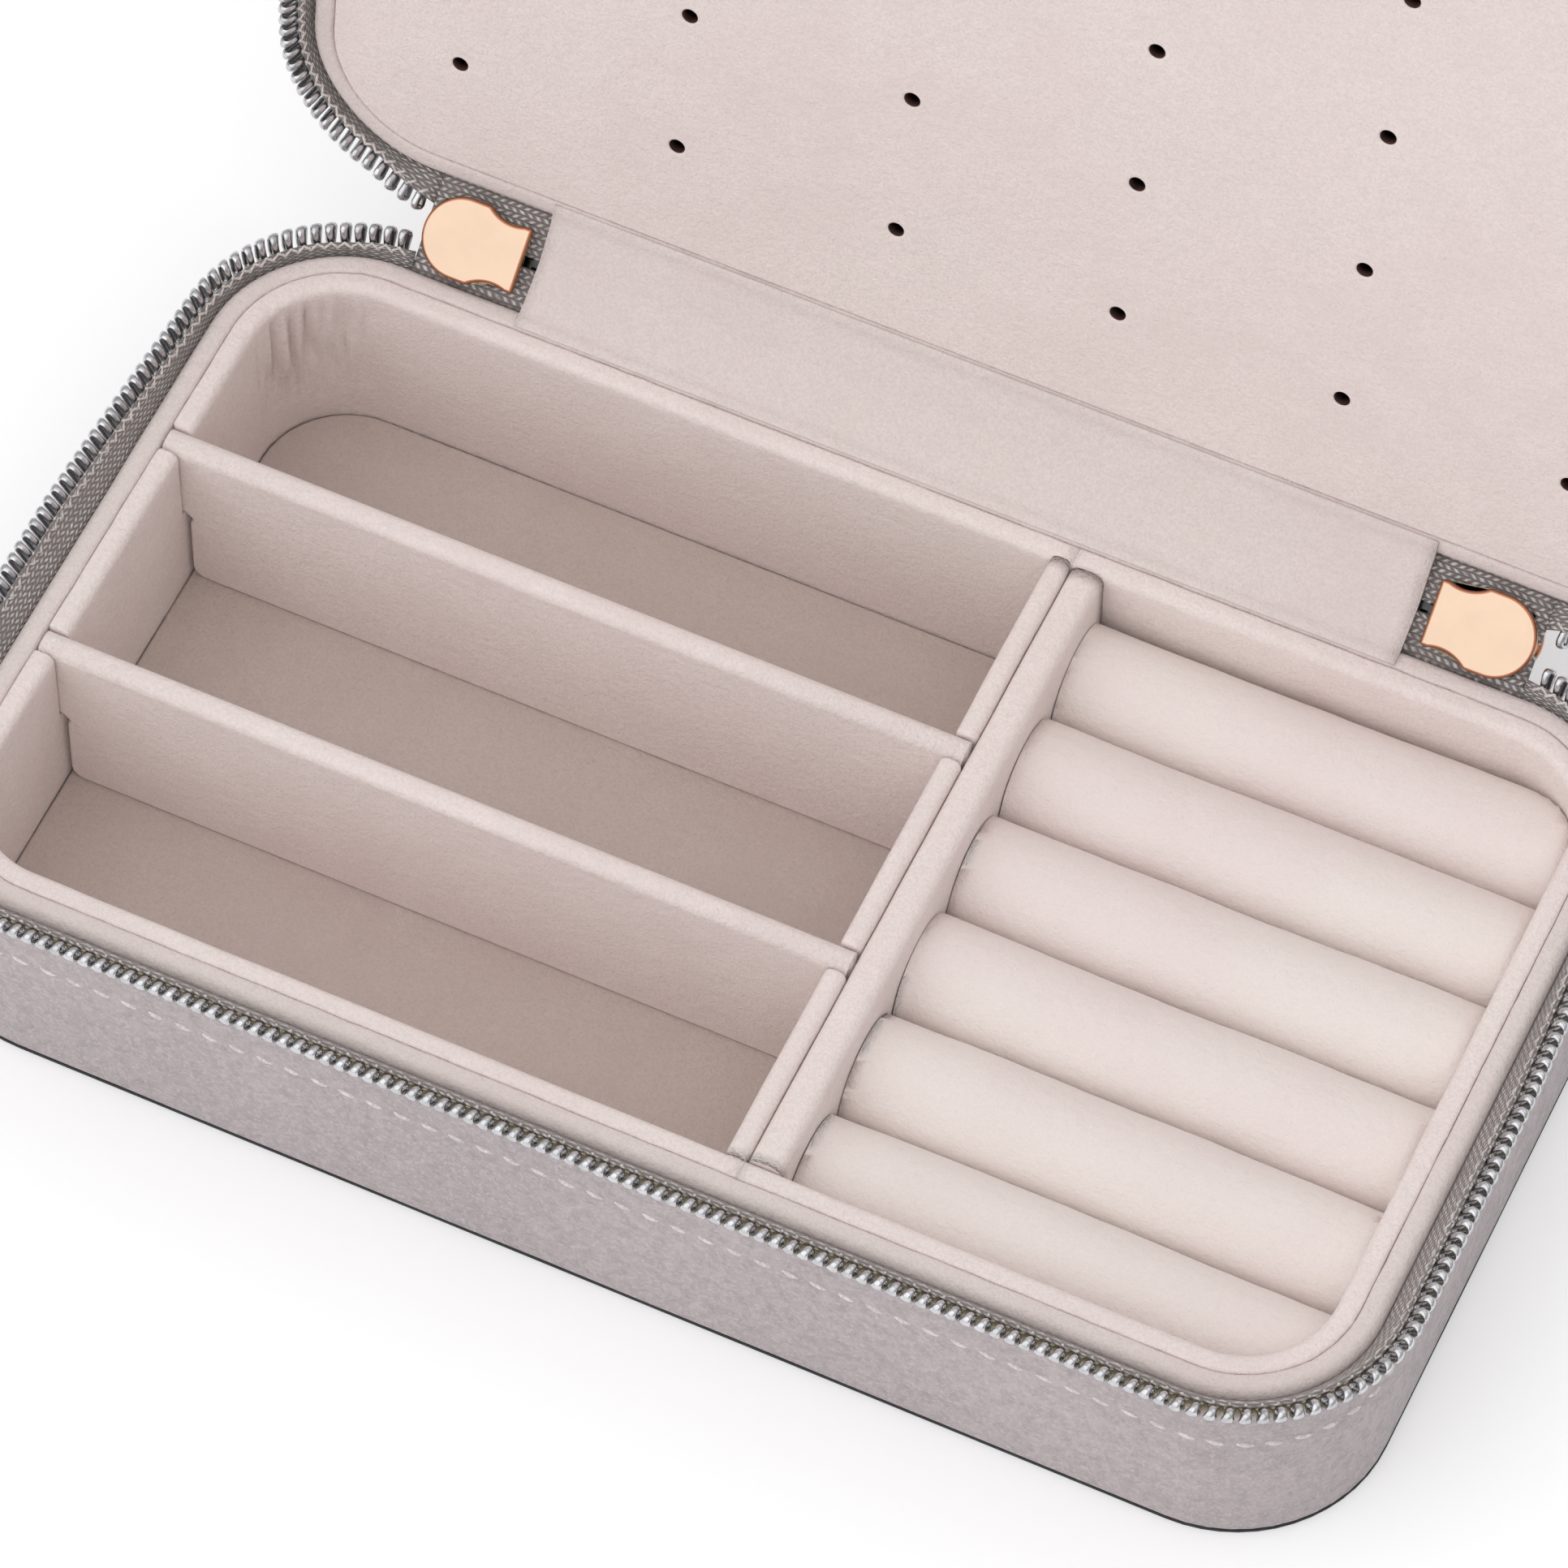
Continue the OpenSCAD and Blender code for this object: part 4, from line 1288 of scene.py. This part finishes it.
class CASE_OT_zipper(bpy.types.Operator):
    """Builds both tapes, the rows of coil and the thread that sews them on"""

    bl_idname = "case.zipper"
    bl_label = "Zipper"

    def execute(self, context):
        c = sizes()
        self.rows(c)
        for side, x0 in (("left", -ROW_START), ("right", CHAIN_END)):
            self.hinge_tapes(c, side, x0)
        return {"FINISHED"}

    def rows(self, c):
        """The tape, coil and stitches round each half of the case."""
        loop = coil_loop(c)
        half = c.pitch / 2
        sewing = rods((
            ((0.2, -half, -2.75), (1.45, -0.2, -1.8)), ((1.45, 0.2, -1.8), (0.2, half, -2.75)),
            ((0.15, -half, -2.85), (0.15, half, -2.85)),
        ), SEWING_RADIUS)
        scallop = rods((
            ((-0.46, -half, -1.3), (-0.3, 0, -0.7)), ((-0.3, 0, -0.7), (-0.46, half, -1.3)),
        ), SCALLOP_RADIUS)
        for body, place, lid in (("base", base_place(c), False), ("lid", lid_place(c), True)):
            tape = tape_ring(c, f"{body}_zip_tape", place, f"{body}_tape", lid)
            blend_tape(tape, lid)
            places = loop_places(c, lid)
            for name, mesh, slot, finish, nodes in (
                ("coil", loop, "zip_silver", None, [f"{body}_teeth"]),
                ("coil_stitches", sewing, "zip_tape", "sewing_thread", ()),
                ("edge_stitches", scallop, "zip_tape", "edge_thread", ()),
            ):
                bm = bmesh.new()
                repeat(bm, mesh, places)
                finished(bm, f"{body}_{name}", slot, body, nodes, place, finish=finish)

    def hinge_tapes(self, c, side, x0):
        """The ends of both tapes beside the flap, on one side of the case."""
        outer, inner = c.bend.x + TAPE_HALF, c.bend.x - TAPE_HALF
        for body, low, bend, edge in (
            ("base", (outer, HINGE_ROOT), (outer, HINGE_BEND), zip_point(c, -0.6, 0.3)),
            ("lid", lid_side(c, inner, HINGE_ROOT), lid_side(c, inner, HINGE_BEND),
             zip_point(c, 0.6, 0.8)),
        ):
            outline = band(((*low, 0.0), (*bend, 0.5), (*edge, 0.0)), 2 * TAPE_HALF)
            bm = strip(c, outline, x0, x0 + ROW_START - CHAIN_END, 2.0, cell=0.7, segments=3)
            uv = bm.loops.layers.uv.new("Lay")
            start = Vector((bend[0] + c.half_d, bend[1] + c.base_height))
            for face in bm.faces:
                for corner in face.loops:
                    at = corner.vert.co
                    corner[uv].uv = (at.x, (at.yz - start).length)
            tape = finished(bm, f"hinge_tape_{side}_{body}", "zip_tape", None, ["hinge_tape"])
            blend_tape(tape, body == "lid")


# ---------- sliders and pulls ----------

EDGE_ROUND = 0.34


class CASE_OT_sliders(bpy.types.Operator):
    """Rounds the edges of the sliders and their pulls"""

    bl_idname = "case.sliders"
    bl_label = "Sliders and pulls"

    def execute(self, context):
        for node, body in (("slider_left", "zip_end"), ("slider_right", "zip_end"),
                           ("pull_left", "pull_left"), ("pull_right", "pull_right")):
            bm = bmesh.new()
            bm.from_mesh(NODES[node].data)
            bmesh.ops.scale(bm, vec=(1 / MM, 1 / MM, 1 / MM), verts=bm.verts)
            bmesh.ops.remove_doubles(bm, verts=bm.verts, dist=WELD)
            bmesh.ops.dissolve_limit(
                bm, angle_limit=math.radians(1.0), verts=bm.verts, edges=bm.edges)
            piece = finished(bm, node + "_polished", "rose_gold", body, [node])
            rounded = piece.modifiers.new("Rounded edges", "BEVEL")
            rounded.width = EDGE_ROUND * MM
            rounded.segments = 3
            rounded.limit_method = "ANGLE"
            rounded.angle_limit = math.radians(35)
            # The rounded edges take the darker copy of the gold: painted shade.
            rounded.material = 1
            rounded.use_clamp_overlap = False
            piece.data.materials.append(bpy.data.materials["rose_gold_edge"])
            even_shading(piece)
        return {"FINISHED"}


# ---------- stage ----------

TABLE_HALF = 3.0
TABLE_WHITE = (0.93, 0.93, 0.94, 1.0)
TABLE_GLOW = 0.2
SKY_LOW, SKY_HIGH = 0.40, 0.72
WHITE = (1.0, 1.0, 1.0, 1.0)
# Name, place, size in metres and power in watts.
LAMPS = (
    ("Key", (-0.345, -0.98, 1.035), 2.5, 15.2),
    ("Fill", (0.4, 0.6, 1.1), 1.2, 1.8),
)
LENS = 215.98
CAMERA_PLACE = (0.22380, -0.49041, 0.86021)
# Azimuth, elevation and roll in degrees.
CAMERA_ANGLES = (24.4567, 57.0341, 0.6789)


class CASE_OT_stage(bpy.types.Operator):
    """Builds the white table, the soft light and the camera"""

    bl_idname = "case.stage"
    bl_label = "Stage"

    def execute(self, context):
        scene = context.scene
        scene.view_settings.view_transform = "Standard"
        self.table(scene)
        self.sky(scene)
        for name, place, size, power in LAMPS:
            data = bpy.data.lights.new(name, "AREA")
            data.shape = "SQUARE"
            data.size = size
            data.energy = power
            lamp = bpy.data.objects.new(name, data)
            lamp.location = place
            lamp.rotation_mode = "QUATERNION"
            lamp.rotation_quaternion = (-Vector(place)).to_track_quat("-Z", "Y")
            scene.collection.objects.link(lamp)
        self.camera(scene)
        return {"FINISHED"}

    def table(self, scene):
        """White table that keeps the shadow and looks white where it is lit."""
        bm = bmesh.new()
        bmesh.ops.create_grid(bm, x_segments=1, y_segments=1, size=TABLE_HALF)
        mesh = template(bm, "Table")
        table = bpy.data.objects.new("Table", mesh)
        scene.collection.objects.link(table)
        m = Finish("Table white")
        ray = m.add("ShaderNodeLightPath").outputs
        mirrored = m.math("MAXIMUM", ray["Is Glossy Ray"], ray["Is Transmission Ray"])
        seen = m.math("MAXIMUM", ray["Is Camera Ray"], mirrored)
        m.set(Base_Color=TABLE_WHITE, Roughness=0.9, Emission_Color=WHITE)
        m.link("Emission Strength", m.times(seen, TABLE_GLOW))
        mesh.materials.append(m.material)

    def sky(self, scene):
        """White surroundings, brighter overhead."""
        world = bpy.data.worlds.new("Studio")
        scene.world = world
        world.use_nodes = True
        tree = world.node_tree
        sky = tree.nodes["Background"]
        sky.inputs["Color"].default_value = WHITE
        coords = tree.nodes.new("ShaderNodeTexCoord")
        height = tree.nodes.new("ShaderNodeSeparateXYZ")
        level = tree.nodes.new("ShaderNodeMapRange")
        level.inputs["To Min"].default_value = SKY_LOW
        level.inputs["To Max"].default_value = SKY_HIGH
        tree.links.new(coords.outputs["Generated"], height.inputs["Vector"])
        tree.links.new(height.outputs["Z"], level.inputs["Value"])
        tree.links.new(level.outputs["Result"], sky.inputs["Strength"])

    def camera(self, scene):
        data = bpy.data.cameras.new("Camera")
        data.sensor_width = 36.0
        data.lens = LENS
        data.clip_start, data.clip_end = 0.05, 10.0
        camera = bpy.data.objects.new("Camera", data)
        azimuth, elevation, roll = (math.radians(a) for a in CAMERA_ANGLES)
        back = Vector((math.sin(azimuth) * math.cos(elevation),
                       -math.cos(azimuth) * math.cos(elevation), math.sin(elevation)))
        right = Vector((math.cos(azimuth), math.sin(azimuth), 0.0))
        up = right.cross(-back)
        axes = Matrix((math.cos(roll) * right + math.sin(roll) * up,
                       math.cos(roll) * up - math.sin(roll) * right, back)).transposed()
        camera.matrix_world = Matrix.Translation(CAMERA_PLACE) @ axes.to_4x4()
        scene.collection.objects.link(camera)
        scene.camera = camera


class CASE_PT_panel(bpy.types.Panel):
    bl_label = "Jewellery case"
    bl_space_type = "VIEW_3D"
    bl_region_type = "UI"
    bl_category = "Jewellery case"

    def draw(self, context):
        for group in (context.scene.case_sizes, context.scene.case_colours):
            for name in group.__annotations__:
                self.layout.prop(group, name)
        for cls in OPERATORS:
            self.layout.operator(cls.bl_idname)


GROUPS = {"case_sizes": CaseSizes, "case_colours": CaseColours}
OPERATORS = (
    CASE_OT_finishes, CASE_OT_cover, CASE_OT_linings, CASE_OT_floors, CASE_OT_rolls,
    CASE_OT_panel, CASE_OT_hinge, CASE_OT_zipper, CASE_OT_sliders, CASE_OT_stage,
)
CLASSES = (*GROUPS.values(), *OPERATORS, CASE_PT_panel)


def register():
    for cls in CLASSES:
        bpy.utils.register_class(cls)
    for name, cls in GROUPS.items():
        setattr(bpy.types.Scene, name, bpy.props.PointerProperty(type=cls))


def unregister():
    for name in GROUPS:
        delattr(bpy.types.Scene, name)
    for cls in reversed(CLASSES):
        bpy.utils.unregister_class(cls)


def main():
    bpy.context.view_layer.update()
    register()
    for cls in OPERATORS:
        group, name = cls.bl_idname.split(".")
        getattr(getattr(bpy.ops, group), name)()


if __name__ == "__main__":
    main()
